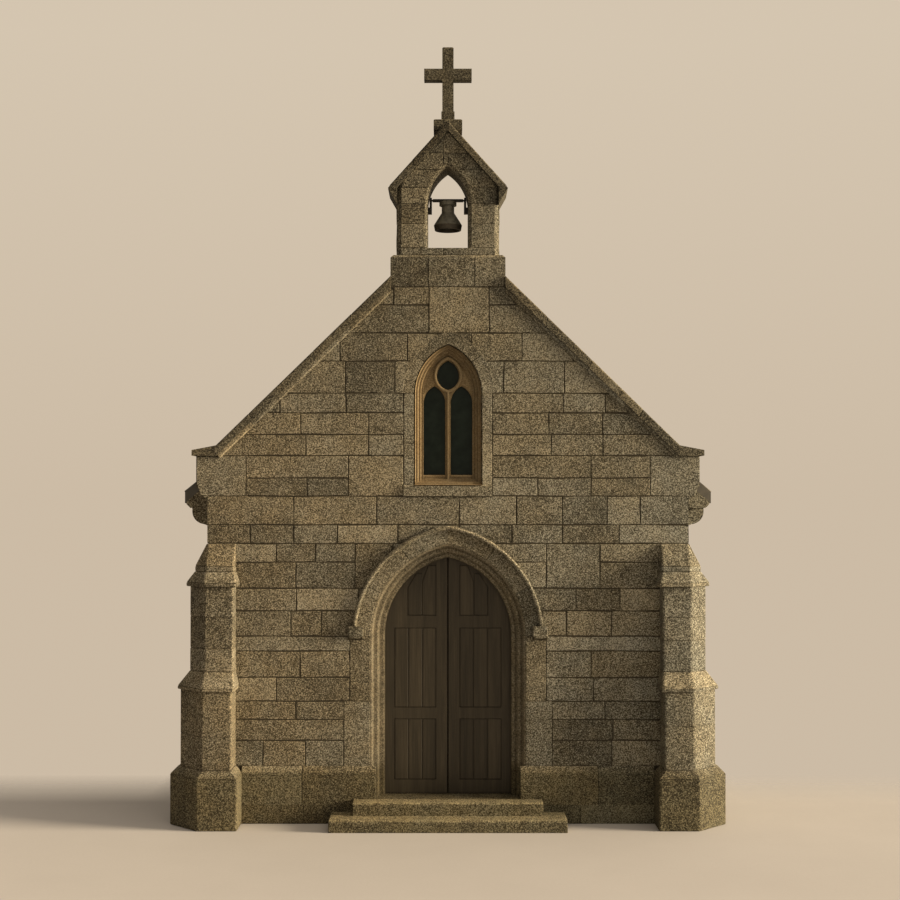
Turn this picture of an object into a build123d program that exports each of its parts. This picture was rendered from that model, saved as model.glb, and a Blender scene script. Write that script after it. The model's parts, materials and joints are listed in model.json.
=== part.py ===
from build123d import *
from math import acos, cos, degrees, radians, sqrt, tan
import os

# Small granite chapel with a bellcote over its front gable, in millimetres.
# The front faces -Y, +Z is up, and the origin is at ground level, midway along and across.

# Nave
wall_half_width = 3010
nave_length = 8000
gable_wall = 600
side_wall = 550
floor_level = 300
wall_over_door = 387

# Plinth along the walls
plinth_height = 630
plinth_weathering = 70
plinth_projection = 65

# Steps at the door
lower_step_margin = 654
lower_step_rise = 140
lower_step_reach = 565
upper_step_margin = 377
upper_step_reach = 300

# Doorway: a two-centred arch in three moulded orders, with a wide recess behind for the leaves
door_half_width = 800
door_leg = 2028
door_arch_offset = 200
middle_order_step = 75
outer_order_step = 70
outer_order_depth = 100
middle_order_depth = 90
inner_order_depth = 90
order_roll = 25
order_hollow = 38
surround_width = 350
recess_side_gap = 60
recess_headroom = 240

# Hood mould over the doorway, with its label stops
hood_width = 52
hood_projection = 75
hood_bevel = 18
stop_inset = 85
stop_outset = 95
stop_rise = 132
stop_height = 148
stop_projection = 90
stop_round = 45

# Door leaves, each a frame with boarded panels
leaf_gap = 5
leaf_thickness = 70
leaf_lap = 25
meeting_half_gap = 8
leaf_foot_gap = 12
outer_stile = 143
meeting_stile = 140
bottom_rail_height = 167
lower_panel_height = 775
lock_rail_height = 141
arch_rail_rise = 82
arch_rail_height = 153
head_panel_half_width = 515
head_border = 45
board_thickness = 40

# Hinge bands on the leaves and pintles in the recess
hinge_side_gap = 15
pin_radius = 10
pin_clearance = 0.3
eye_radius = 20
eye_height = 60
band_length = 620
band_thickness = 8
pin_overrun = 6
pintle_arm_width = 28
pintle_arm_height = 30
pintle_plate_width = 70
pintle_plate_height = 130
pintle_plate_thickness = 8

# Two-light window in each gable
window_half_width = 427
window_leg = 1170
window_arch_offset = 237
window_foot_rise = 35
sill_height = 125
sill_weathering = 110
surround_band = 130
reveal_steps = [34, 34, 34]
reveal_depths = [40, 45, 40]
tracery_depth = 160
tracery_thickness = 100
sill_projection = 40
mullion_half_width = 35
light_margin = 15
light_drop = 110
light_arch_offset = 103
eye_half_width = 140
eye_lift = 230
eye_rise_offset = 75
eye_drop_offset = 39
tracery_bevel = 20
glass_thickness = 8
glass_lap = 40
rear_splay = 25

# Side windows
side_window_count = 3
side_window_spacing = 2200
lancet_half_width = 225
lancet_sill = 1700
lancet_leg = 1250
lancet_arch_offset = 120
lancet_band = 140
lancet_sill_height = 140
lancet_head_cover = 130
lancet_frame_width = 40
lancet_frame_depth = 200
lancet_frame_thickness = 80

# Corner buttresses: projections to the side and to the front, returns and canted corners
base_side = 444
base_front = 480
base_return = 426
base_cant = 60
lower_side = 320
lower_front = 380
lower_cant = 10
shaft_return = 340
upper_side = 206
upper_front = 250
rest_side = 150
rest_front = 182
tip_projection = 10
lower_lip_overhang = 38
upper_lip_overhang = 49
base_weathering = 90
lower_shaft_height = 960
lower_lip_height = 40
lower_weathering = 190
upper_shaft_height = 1050
upper_lip_height = 50
upper_weathering = 135
rest_height = 65
tip_weathering = 280

# Gables, kneelers and copings
gable_pitch = 44.2
coping_thickness = 90
coping_overhang = 55
kneeler_reach = 490
kneeler_height = 544
kneeler_projection = 155
kneeler_curve_height = 194
coping_foot_inset = 104
coping_foot_length = 315
coping_foot_drop = 60
coping_foot_overhang = 50

# Roof, ridge and eaves
ridge_sight_gap = 10
roof_foot_gap = 6
roof_thickness = 110
roof_overhang = 405
ridge_half_width = 190
ridge_thickness = 34
ridge_roll = 42
eaves_projection = 385
eaves_face = 30
eaves_nose = 50
corbel_height = 370
corbel_projection = 320
corbel_width = 200
corbel_count = 8
corbel_end_gap = 60
corbel_toe = 45

# Bellcote
bellcote_base_half_width = 716
bellcote_base_height = 405
bellcote_base_arris = 28
bellcote_half_width = 642
bellcote_inset = 30
bellcote_arris = 45
bell_sill_height = 91
bell_opening_half_width = 256
bell_leg = 560
bell_arch_offset = 314.5
bell_opening_arris = 30
bellcote_pitch = 48
bellcote_shoulder_rise = 205
bellcote_coping_thickness = 75
bellcote_coping_overhang = 50
bellcote_eave_reach = 114
bellcote_eave_drop = 200

# Saddle stone and cross
saddle_half_width = 182
saddle_lap = 60
saddle_height = 135
saddle_depth = 300
collar_half_width = 84
collar_height = 114
cross_height = 946
cross_half_width = 72
cross_arm_reach = 304
cross_arm_rise = 523
cross_arm_height = 144
cross_arris = 14

# Bell, headstock and bearings
bell_axis_rise = 93
headstock_end_gap = 10
headstock_size = 36
gudgeon_radius = 12
gudgeon_end_gap = 5
bearing_clearance = 0.3
bearing_stand_off = 21
bearing_thickness = 30
bearing_drop = 80
bearing_top_cover = 20
bearing_depth = 70
bell_crown_radius = 110
bell_crown_height = 50
bell_neck_radius = 80
bell_neck_height = 92
bell_waist_radius = 125
bell_shoulder_height = 70
bell_lip_radius = 180
bell_flare_height = 90
bell_rim_radius = 168
bell_rim_height = 65
bell_wall = 22
clapper_rod_radius = 9
clapper_ball_radius = 28
clapper_rise = 45

# Places that follow from the sizes above: along the nave, then the doorway
overall_depth = lower_step_reach + nave_length + base_front
front_face = lower_step_reach - overall_depth / 2
rear_face = front_face + nave_length
nave_middle = (front_face + rear_face) / 2
wall_inner = wall_half_width - side_wall
lower_step_half_width = door_half_width + lower_step_margin
upper_step_half_width = door_half_width + upper_step_margin
door_rebate = outer_order_depth + middle_order_depth + inner_order_depth
door_springing = floor_level + door_leg
surround_half_width = door_half_width + surround_width
leaf_front = door_rebate + leaf_gap
leaf_back = leaf_front + leaf_thickness
leaf_half_width = door_half_width + leaf_lap
leaf_foot = floor_level + leaf_foot_gap
hinge_x = leaf_half_width + hinge_side_gap
hinge_depth = leaf_back + eye_radius + pin_overrun / 3
recess_half_width = hinge_x + recess_side_gap
plinth_door_end = recess_half_width


def arch_rise(half_width, centre_offset):
    """Height of a two-centred arch from its springing to its crown."""
    return sqrt(half_width * (half_width + 2 * centre_offset))


recess_head = door_springing + arch_rise(leaf_half_width, door_arch_offset) + recess_headroom
surround_crown = door_springing + arch_rise(surround_half_width, door_arch_offset)

# Places up the gables
gable_foot = surround_crown + wall_over_door
gable_slope = tan(radians(gable_pitch))
gable_secant = 1 / cos(radians(gable_pitch))
kneeler_inner = wall_half_width - kneeler_reach
kneeler_end = wall_half_width + kneeler_projection
kneeler_top = gable_foot + kneeler_height
coping_foot_x = wall_half_width - coping_foot_inset
gable_peak = kneeler_top + gable_slope * coping_foot_x

# Places up the bellcote
bellcote_slope = tan(radians(bellcote_pitch))
bellcote_coping_rise = bellcote_coping_thickness / cos(radians(bellcote_pitch))
bellcote_foot = gable_peak - gable_slope * bellcote_base_half_width
bellcote_base_top = bellcote_foot + bellcote_base_height
bell_sill = bellcote_base_top + bell_sill_height
bell_springing = bell_sill + bell_leg
bellcote_shoulder = bell_springing + bellcote_shoulder_rise
bellcote_peak = bellcote_shoulder + bellcote_slope * bellcote_half_width
bellcote_top = bellcote_peak + bellcote_coping_rise
bellcote_middle = front_face + gable_wall / 2
saddle_foot = bellcote_top - saddle_lap
saddle_top = saddle_foot + saddle_height
cross_arm_foot = saddle_top + cross_arm_rise

# Places up the roof, whose ridge stays under the bell opening
ridge_top = bell_sill - ridge_sight_gap
roof_peak = ridge_top - ridge_roll - ridge_thickness
roof_slope = (roof_peak - kneeler_top + roof_foot_gap) / coping_foot_x
roof_secant = sqrt(1 + roof_slope**2)
roof_underside = roof_peak - roof_thickness * roof_secant
eaves_edge = wall_half_width + eaves_projection


def roof_underside_at(x):
    return roof_underside - roof_slope * x


eaves_foot = roof_underside_at(eaves_edge) - eaves_face - eaves_nose
corbel_foot = eaves_foot - corbel_height


def end_plane(end, depth):
    """Upright plane across the nave at a depth in from its face: end -1 is the front, 1 the rear."""
    face = front_face if end < 0 else rear_face
    return Plane(origin=(0, face - end * depth, 0), x_dir=(-end, 0, 0), z_dir=(0, end, 0))


def side_plane(side, depth):
    """Upright plane along the nave at a depth in from a side face: side -1 is the left, 1 the right."""
    origin = (side * (wall_half_width - depth), nave_middle, 0)
    return Plane(origin=origin, x_dir=(0, side, 0), z_dir=(side, 0, 0))


def save(block, name):
    block.part.label = name
    export_step(block.part, f"parts/{name}.step")


class PointedArch(BaseSketchObject):
    """Opening with straight legs under two arcs, each struck from beyond the middle line."""

    def __init__(self, half_width, foot, springing, centre_offset, mode=Mode.ADD):
        radius = half_width + centre_offset
        arc = degrees(acos(centre_offset / radius))
        with BuildSketch() as opening:
            with BuildLine():
                Polyline(
                    (-half_width, springing),
                    (-half_width, foot),
                    (half_width, foot),
                    (half_width, springing),
                )
                CenterArc((-centre_offset, springing), radius, 0, arc)
                CenterArc((centre_offset, springing), radius, 180, -arc)
            make_face()
        super().__init__(opening.sketch, mode=mode)


class Block(BaseSketchObject):
    """Rectangle between two corners."""

    def __init__(self, left, foot, right, top, mode=Mode.ADD):
        with BuildSketch() as block:
            with BuildLine():
                Polyline((left, foot), (right, foot), (right, top), (left, top), close=True)
            make_face()
        super().__init__(block.sketch, mode=mode)


class Outline(BaseSketchObject):
    """Straight-sided outline through its corners."""

    def __init__(self, *corners, mode=Mode.ADD):
        with BuildSketch() as outline:
            with BuildLine():
                Polyline(*corners, close=True)
            make_face()
        super().__init__(outline.sketch, mode=mode)


os.makedirs("parts", exist_ok=True)

# Floor, threshold and steps
inner_length = nave_length - 2 * gable_wall
with BuildPart() as floor_slab:
    with BuildSketch(end_plane(-1, gable_wall)):
        Block(-wall_inner, 0, wall_inner, floor_level)
    extrude(amount=-inner_length)
save(floor_slab, "floor_slab")

with BuildPart() as threshold:
    with BuildSketch(end_plane(-1, -plinth_projection)):
        Block(-plinth_door_end, 0, plinth_door_end, floor_level)
    extrude(amount=-(plinth_projection + gable_wall))
save(threshold, "threshold")

with BuildPart() as lower_step:
    with BuildSketch(end_plane(-1, -plinth_projection)):
        Block(-lower_step_half_width, 0, lower_step_half_width, lower_step_rise)
    extrude(amount=lower_step_reach - plinth_projection)
save(lower_step, "lower_step")

with BuildPart() as upper_step:
    with BuildSketch(end_plane(-1, -plinth_projection)):
        Block(-upper_step_half_width, lower_step_rise, upper_step_half_width, floor_level)
    extrude(amount=upper_step_reach - plinth_projection)
save(upper_step, "upper_step")

# Plinths: a course that stands out from the wall, with a weathered top
plinth_top = plinth_height + plinth_weathering
plinth_end = wall_half_width - base_return


class PlinthSection(BaseSketchObject):
    """Section of the plinth, out from the wall face at local x 0."""

    def __init__(self, mode=Mode.ADD):
        with BuildSketch() as section:
            Outline(
                (0, 0),
                (plinth_projection, 0),
                (plinth_projection, plinth_height),
                (0, plinth_top),
            )
        super().__init__(section.sketch, mode=mode)


with BuildPart() as front_plinth:
    section_plane = Plane((plinth_end, front_face, 0), x_dir=(0, -1, 0), z_dir=(-1, 0, 0))
    with BuildSketch(section_plane):
        PlinthSection()
    extrude(amount=plinth_end - plinth_door_end)
    mirror(about=Plane.YZ)
save(front_plinth, "front_plinth")

with BuildPart() as rear_plinth:
    section_plane = Plane((-plinth_end, rear_face, 0), x_dir=(0, 1, 0), z_dir=(1, 0, 0))
    with BuildSketch(section_plane):
        PlinthSection()
    extrude(amount=2 * plinth_end)
save(rear_plinth, "rear_plinth")

with BuildPart() as side_plinths:
    section_plane = Plane(
        (wall_half_width, rear_face - base_return, 0), x_dir=(1, 0, 0), z_dir=(0, -1, 0)
    )
    with BuildSketch(section_plane):
        PlinthSection()
    extrude(amount=nave_length - 2 * base_return)
    mirror(about=Plane.YZ)
save(side_plinths, "side_plinths")

# Front wall in two halves, split over the doorway's crown
for side, name in ((-1, "front_wall_left"), (1, "front_wall_right")):
    with BuildPart() as front_wall:
        with BuildSketch(end_plane(-1, 0)):
            Block(0, 0, side * wall_half_width, gable_foot)
            PointedArch(
                surround_half_width, floor_level, door_springing, door_arch_offset, mode=Mode.SUBTRACT
            )
            Block(-recess_half_width, 0, recess_half_width, floor_level, mode=Mode.SUBTRACT)
        extrude(amount=-door_rebate)
        with BuildSketch(end_plane(-1, door_rebate)):
            Block(0, 0, side * wall_half_width, gable_foot)
            Block(-recess_half_width, 0, recess_half_width, recess_head, mode=Mode.SUBTRACT)
        extrude(amount=-(gable_wall - door_rebate))
    save(front_wall, name)


def gable_outline(cut_height):
    """Corners of a gable over its kneelers, cut off level at a height, or run up to its peak."""
    half_top = (gable_peak - cut_height) / gable_slope
    right = [
        (kneeler_inner, gable_foot),
        (kneeler_inner, kneeler_top),
        (coping_foot_x, kneeler_top),
        (half_top, cut_height),
    ]
    left = [(-x, z) for x, z in reversed(right)]
    return right + left if half_top > 0 else right + left[1:]


window_foot = gable_foot + window_foot_rise
window_sill = window_foot + sill_height
window_springing = window_sill + window_leg
tracery_half_width = window_half_width - sum(reveal_steps)


def cut_gable_window(end):
    """Openings for a gable window, wide in front for its surround and narrower behind."""
    with BuildPart(mode=Mode.PRIVATE) as cutter:
        with BuildSketch(end_plane(end, 0)):
            PointedArch(
                window_half_width + surround_band, window_foot, window_springing, window_arch_offset
            )
        extrude(amount=-(tracery_depth + tracery_thickness))
        with BuildSketch(end_plane(end, 0)):
            PointedArch(
                window_half_width + rear_splay, window_sill, window_springing, window_arch_offset
            )
        extrude(amount=-gable_wall)
    return cutter.part


with BuildPart() as front_gable:
    with BuildSketch(end_plane(-1, 0)):
        Outline(*gable_outline(bellcote_foot))
    extrude(amount=-gable_wall)
    add(cut_gable_window(-1), mode=Mode.SUBTRACT)
save(front_gable, "front_gable")

with BuildPart() as rear_wall:
    with BuildSketch(end_plane(1, 0)):
        Block(-wall_half_width, 0, wall_half_width, gable_foot)
        Outline(*gable_outline(gable_peak))
    extrude(amount=-gable_wall)
    add(cut_gable_window(1), mode=Mode.SUBTRACT)
save(rear_wall, "rear_wall")

# Side walls under the roof: a wall up to the sills, piers between the lancets and a head over them
window_places = [
    (index - (side_window_count - 1) / 2) * side_window_spacing for index in range(side_window_count)
]
lancet_springing = lancet_sill + lancet_leg
lancet_foot = lancet_sill - lancet_sill_height
lancet_head = lancet_springing + arch_rise(lancet_half_width, lancet_arch_offset) + lancet_head_cover
lancet_block_half_width = lancet_half_width + lancet_band
half_inner_length = inner_length / 2
pier_ends = [-half_inner_length]
for place in window_places:
    pier_ends.append(place - lancet_block_half_width)
    pier_ends.append(place + lancet_block_half_width)
pier_ends.append(half_inner_length)


for side, name in ((-1, "side_wall_left"), (1, "side_wall_right")):
    with BuildPart() as flank:
        with BuildSketch(side_plane(side, 0)):
            Block(-half_inner_length, 0, half_inner_length, lancet_foot)
        extrude(amount=-side_wall)
    save(flank, name)

with BuildPart() as side_piers:
    for side in (-1, 1):
        with BuildSketch(side_plane(side, 0)):
            for near, far in zip(pier_ends[::2], pier_ends[1::2]):
                Block(near, lancet_foot, far, lancet_head)
        extrude(amount=-side_wall)
save(side_piers, "side_piers")

with BuildPart() as side_wall_heads:
    with BuildSketch(end_plane(-1, gable_wall)):
        Outline(
            (wall_inner, lancet_head),
            (wall_half_width, lancet_head),
            (wall_half_width, roof_underside_at(wall_half_width)),
            (wall_inner, roof_underside_at(wall_inner)),
        )
    extrude(amount=-inner_length)
    mirror(about=Plane.YZ)
save(side_wall_heads, "side_wall_heads")

with BuildPart() as side_window_surrounds:
    for side in (-1, 1):
        with BuildSketch(side_plane(side, 0)):
            with Locations(*[(place, 0) for place in window_places]):
                Block(-lancet_block_half_width, lancet_foot, lancet_block_half_width, lancet_head)
                PointedArch(
                    lancet_half_width, lancet_sill, lancet_springing, lancet_arch_offset, mode=Mode.SUBTRACT
                )
        extrude(amount=-side_wall)
save(side_window_surrounds, "side_window_surrounds")

with BuildPart() as side_window_frames:
    for side in (-1, 1):
        with BuildSketch(side_plane(side, lancet_frame_depth)):
            with Locations(*[(place, 0) for place in window_places]):
                PointedArch(lancet_half_width, lancet_sill, lancet_springing, lancet_arch_offset)
                PointedArch(
                    lancet_half_width - lancet_frame_width,
                    lancet_sill + lancet_frame_width,
                    lancet_springing,
                    lancet_arch_offset,
                    mode=Mode.SUBTRACT,
                )
        extrude(amount=-lancet_frame_thickness)
save(side_window_frames, "side_window_frames")

with BuildPart() as side_window_glass:
    for side in (-1, 1):
        with BuildSketch(side_plane(side, lancet_frame_depth + lancet_frame_thickness)):
            with Locations(*[(place, 0) for place in window_places]):
                PointedArch(lancet_half_width, lancet_sill, lancet_springing, lancet_arch_offset)
        extrude(amount=-glass_thickness)
save(side_window_glass, "side_window_glass")

# Doorway: one moulded profile, drawn down as jambs and turned over as the arch
middle_order = door_half_width + middle_order_step
outer_order = middle_order + outer_order_step
inner_order_face = outer_order_depth + middle_order_depth
springing_plane = Plane((0, front_face, door_springing))


class DoorwayProfile(BaseSketchObject):
    """Plan of a jamb: rolls on the orders' arrises and hollows in their corners."""

    def __init__(self, mode=Mode.ADD):
        with BuildSketch() as profile:
            with BuildLine():
                FilletPolyline(
                    (surround_half_width, 0),
                    (outer_order, 0),
                    (outer_order, outer_order_depth),
                    (middle_order, outer_order_depth),
                    (middle_order, inner_order_face),
                    (door_half_width, inner_order_face),
                    (door_half_width, door_rebate),
                    (surround_half_width, door_rebate),
                    radius=[order_roll, order_hollow, order_roll, order_hollow, order_roll, 0],
                )
                Line((surround_half_width, door_rebate), (surround_half_width, 0))
            make_face()
        super().__init__(profile.sketch, mode=mode)


with BuildPart() as door_jambs:
    with BuildSketch(springing_plane):
        DoorwayProfile()
    extrude(amount=-(door_springing - floor_level))
    mirror(about=Plane.YZ)
save(door_jambs, "door_jambs")

arch_axis = Axis((-door_arch_offset, front_face, door_springing), (0, -1, 0))
quarter_turn = 90
with BuildPart() as door_arch:
    with BuildSketch(springing_plane):
        DoorwayProfile()
    revolve(axis=arch_axis, revolution_arc=quarter_turn)
    split(bisect_by=Plane.YZ, keep=Keep.TOP)
    mirror(about=Plane.YZ)
save(door_arch, "door_arch")

hood_outer = surround_half_width + hood_width
stop_inner = surround_half_width - stop_inset
stop_outer = surround_half_width + stop_outset
stop_top = door_springing + stop_rise
with BuildPart() as hood_mould:
    with BuildSketch(springing_plane):
        Outline(
            (surround_half_width, 0),
            (surround_half_width, hood_bevel - hood_projection),
            (surround_half_width + hood_bevel, -hood_projection),
            (hood_outer - hood_bevel, -hood_projection),
            (hood_outer, hood_bevel - hood_projection),
            (hood_outer, 0),
        )
    revolve(axis=arch_axis, revolution_arc=quarter_turn)
    split(bisect_by=Plane.YZ, keep=Keep.TOP)
    with BuildSketch(end_plane(-1, 0)):
        Block(stop_inner, stop_top - stop_height, stop_outer, stop_top)
    extrude(amount=stop_projection)
    stop_feet = hood_mould.edges().filter_by(Axis.Y).group_by(Axis.Z)[0]
    fillet(stop_feet, stop_round)
    mirror(about=Plane.YZ)
save(hood_mould, "hood_mould")

# Door leaves
panel_half_width = leaf_half_width - outer_stile
bottom_rail_top = leaf_foot + bottom_rail_height
lock_rail_foot = bottom_rail_top + lower_panel_height
lock_rail_top = lock_rail_foot + lock_rail_height
arch_rail_foot = door_springing + arch_rail_rise
arch_rail_top = arch_rail_foot + arch_rail_height
meeting_edge = meeting_half_gap + meeting_stile


class LeafPanels(BaseSketchObject):
    """Panels of both leaves between stiles and rails."""

    def __init__(self, mode=Mode.ADD):
        with BuildSketch() as panels:
            Block(-head_panel_half_width, arch_rail_top, head_panel_half_width, recess_head)
            PointedArch(
                leaf_half_width - head_border,
                leaf_foot,
                door_springing,
                door_arch_offset,
                mode=Mode.INTERSECT,
            )
            Block(-panel_half_width, bottom_rail_top, panel_half_width, lock_rail_foot)
            Block(-panel_half_width, lock_rail_top, panel_half_width, arch_rail_foot)
            Block(-meeting_edge, leaf_foot, meeting_edge, recess_head, mode=Mode.SUBTRACT)
        super().__init__(panels.sketch, mode=mode)


with BuildPart() as right_door_frame:
    with BuildSketch(end_plane(-1, leaf_front)):
        PointedArch(leaf_half_width, leaf_foot, door_springing, door_arch_offset)
        LeafPanels(mode=Mode.SUBTRACT)
        Block(-leaf_half_width, 0, meeting_half_gap, recess_head, mode=Mode.SUBTRACT)
    extrude(amount=-leaf_thickness)
save(right_door_frame, "right_door_frame")

board_front = leaf_front + (leaf_thickness - board_thickness) / 2
with BuildPart() as right_door_boards:
    with BuildSketch(end_plane(-1, board_front)):
        LeafPanels()
        Block(-leaf_half_width, 0, 0, recess_head, mode=Mode.SUBTRACT)
    extrude(amount=-board_thickness)
save(right_door_boards, "right_door_boards")

hinge_heights = [bottom_rail_top - eye_height / 2, arch_rail_top - eye_height / 2]
hinge_y = front_face + hinge_depth
with BuildPart() as right_door_bands:
    for height in hinge_heights:
        eye_foot = height - eye_height / 2
        with BuildSketch(end_plane(-1, leaf_back)):
            Block(hinge_x - band_length, eye_foot, hinge_x, eye_foot + eye_height)
        extrude(amount=-band_thickness)
        with BuildSketch(Plane((hinge_x, hinge_y, eye_foot))):
            Circle(eye_radius)
        extrude(amount=eye_height)
        with BuildSketch(Plane((hinge_x, hinge_y, eye_foot))):
            Circle(pin_radius + pin_clearance)
        extrude(amount=eye_height, mode=Mode.SUBTRACT)
save(right_door_bands, "right_door_bands")

with BuildPart() as door_pintles:
    for height in hinge_heights:
        arm_top = height - eye_height / 2 - pin_clearance
        arm_middle = arm_top - pintle_arm_height / 2
        with BuildSketch(Plane((hinge_x, hinge_y, arm_top))):
            Circle(pin_radius)
        extrude(amount=eye_height + pin_overrun)
        with BuildSketch(Plane((hinge_x, hinge_y, arm_top))):
            Circle(pintle_arm_width / 2)
            Block(0, -pintle_arm_width / 2, recess_half_width - hinge_x, pintle_arm_width / 2)
        extrude(amount=-pintle_arm_height)
        plate_plane = Plane((recess_half_width, hinge_y, arm_middle), x_dir=(0, 1, 0), z_dir=(1, 0, 0))
        with BuildSketch(plate_plane):
            Rectangle(pintle_plate_width, pintle_plate_height)
        extrude(amount=-pintle_plate_thickness)
    mirror(about=Plane.YZ)
save(door_pintles, "door_pintles")

for right_piece, name in (
    (right_door_frame, "left_door_frame"),
    (right_door_boards, "left_door_boards"),
    (right_door_bands, "left_door_bands"),
):
    with BuildPart() as left_piece:
        mirror(right_piece.part, about=Plane.YZ)
    save(left_piece, name)

# Gable windows: moulded surround with a weathered sill, tracery of two lights under an eye, glass
light_outer_edge = tracery_half_width - light_margin
light_half_width = (light_outer_edge - mullion_half_width) / 2
light_middle = (light_outer_edge + mullion_half_width) / 2
glass_half_width = tracery_half_width + glass_lap
tracery_back = tracery_depth + tracery_thickness
tracery_foot = window_sill + sill_weathering
light_foot = tracery_foot + mullion_half_width
light_springing = window_springing - light_drop
eye_springing = window_springing + eye_lift
bevel_stages = [(tracery_depth, tracery_bevel), (tracery_depth + tracery_bevel, 0)]


class WindowLight(BaseSketchObject):
    """One light of the tracery, grown by its bevel."""

    def __init__(self, growth, mode=Mode.ADD):
        with BuildSketch() as light:
            PointedArch(light_half_width + growth, light_foot - growth, light_springing, light_arch_offset)
        super().__init__(light.sketch, mode=mode)


class WindowEye(BaseSketchObject):
    """Pointed eye over the two lights, an arch above and another turned down, grown by its bevel."""

    def __init__(self, growth, mode=Mode.ADD):
        half_width = eye_half_width + growth
        top = eye_springing + arch_rise(half_width, eye_rise_offset)
        foot = eye_springing - arch_rise(half_width, eye_drop_offset)
        with BuildSketch() as eye:
            with BuildLine():
                RadiusArc((-half_width, eye_springing), (0, top), half_width + eye_rise_offset)
                RadiusArc((0, top), (half_width, eye_springing), half_width + eye_rise_offset)
                RadiusArc((half_width, eye_springing), (0, foot), half_width + eye_drop_offset)
                RadiusArc((0, foot), (-half_width, eye_springing), half_width + eye_drop_offset)
            make_face()
        super().__init__(eye.sketch, mode=mode)


for end, place in ((-1, "front"), (1, "rear")):
    with BuildPart() as window_surround:
        with BuildSketch(end_plane(end, 0)):
            PointedArch(
                window_half_width + surround_band, window_foot, window_springing, window_arch_offset
            )
        extrude(amount=-tracery_back)
        sill_plane = Plane(
            (0, front_face if end < 0 else rear_face, 0), x_dir=(0, -end, 0), z_dir=(-end, 0, 0)
        )
        half_width = window_half_width
        cut_depth = 0
        for narrowing, depth in zip(reveal_steps + [0], reveal_depths + [tracery_back]):
            with BuildSketch(end_plane(end, cut_depth)):
                PointedArch(half_width, window_sill, window_springing, window_arch_offset)
            extrude(amount=-min(depth, tracery_back - cut_depth), mode=Mode.SUBTRACT)
            half_width -= narrowing
            cut_depth += depth
        with BuildSketch(sill_plane):
            Outline(
                (-sill_projection, window_foot),
                (-sill_projection, window_sill),
                (tracery_depth, tracery_foot),
                (tracery_back, tracery_foot),
                (tracery_back, window_foot),
            )
        extrude(amount=window_half_width + surround_band, both=True)
    save(window_surround, f"{place}_window_surround")

    with BuildPart() as window_tracery:
        with BuildSketch(end_plane(end, tracery_depth)):
            PointedArch(tracery_half_width, tracery_foot, window_springing, window_arch_offset)
            with Locations((-light_middle, 0), (light_middle, 0)):
                WindowLight(0, mode=Mode.SUBTRACT)
            WindowEye(0, mode=Mode.SUBTRACT)
        extrude(amount=-tracery_thickness)
        for middle in (-light_middle, light_middle):
            for depth, growth in bevel_stages:
                with BuildSketch(end_plane(end, depth)):
                    with Locations((middle, 0)):
                        WindowLight(growth)
            loft(ruled=True, mode=Mode.SUBTRACT)
        for depth, growth in bevel_stages:
            with BuildSketch(end_plane(end, depth)):
                WindowEye(growth)
        loft(ruled=True, mode=Mode.SUBTRACT)
    save(window_tracery, f"{place}_window_tracery")

    with BuildPart() as window_glass:
        with BuildSketch(end_plane(end, tracery_back)):
            PointedArch(glass_half_width, tracery_foot, window_springing, window_arch_offset)
        extrude(amount=-glass_thickness)
    save(window_glass, f"{place}_window_glass")

# Corner buttresses, drawn at the front right corner and mirrored to the others


class CornerPlan(BaseSketchObject):
    """Plan that clasps a corner at the origin, out to the side and to the front, its corner canted."""

    def __init__(self, side, front, reach, cant, mode=Mode.ADD):
        with BuildSketch() as plan:
            Outline(
                (-reach, 0),
                (-reach, -front),
                (cant, -front),
                (side, side - cant - front),
                (side, reach),
                (0, reach),
                (0, 0),
            )
        super().__init__(plan.sketch, mode=mode)


base_top = plinth_height
base_weathering_top = base_top + base_weathering
lower_lip = base_weathering_top + lower_shaft_height
lower_lip_top = lower_lip + lower_lip_height
lower_weathering_top = lower_lip_top + lower_weathering
upper_lip = lower_weathering_top + upper_shaft_height
upper_lip_top = upper_lip + upper_lip_height
rest_foot = upper_lip_top + upper_weathering
rest_top = rest_foot + rest_height
upper_weathering_top = rest_top + tip_weathering
base_plan = (base_side, base_front, base_return, base_cant)
lower_plan = (lower_side, lower_front, shaft_return, lower_cant)
lower_lip_plan = (
    lower_side + lower_lip_overhang,
    lower_front + lower_lip_overhang,
    shaft_return + lower_lip_overhang,
    lower_cant,
)
upper_plan = (upper_side, upper_front, shaft_return, 0)
upper_lip_plan = (
    upper_side + upper_lip_overhang,
    upper_front + upper_lip_overhang,
    shaft_return + upper_lip_overhang,
    0,
)
rest_plan = (rest_side, rest_front, shaft_return, 0)
tip_plan = (tip_projection, tip_projection, shaft_return, 0)
stages = [
    (0, base_plan, base_top, base_plan),
    (base_top, base_plan, base_weathering_top, lower_plan),
    (base_weathering_top, lower_plan, lower_lip, lower_plan),
    (lower_lip, lower_lip_plan, lower_lip_top, lower_lip_plan),
    (lower_lip_top, lower_lip_plan, lower_weathering_top, upper_plan),
    (lower_weathering_top, upper_plan, upper_lip, upper_plan),
    (upper_lip, upper_lip_plan, upper_lip_top, upper_lip_plan),
    (upper_lip_top, upper_lip_plan, rest_foot, rest_plan),
    (rest_foot, rest_plan, rest_top, rest_plan),
    (rest_top, rest_plan, upper_weathering_top, tip_plan),
]
with BuildPart() as buttress_front_right:
    for foot, foot_plan, top, top_plan in stages:
        with BuildSketch(Plane((wall_half_width, front_face, foot))):
            CornerPlan(*foot_plan)
        with BuildSketch(Plane((wall_half_width, front_face, top))):
            CornerPlan(*top_plan)
        loft(ruled=True)
save(buttress_front_right, "buttress_front_right")

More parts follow.
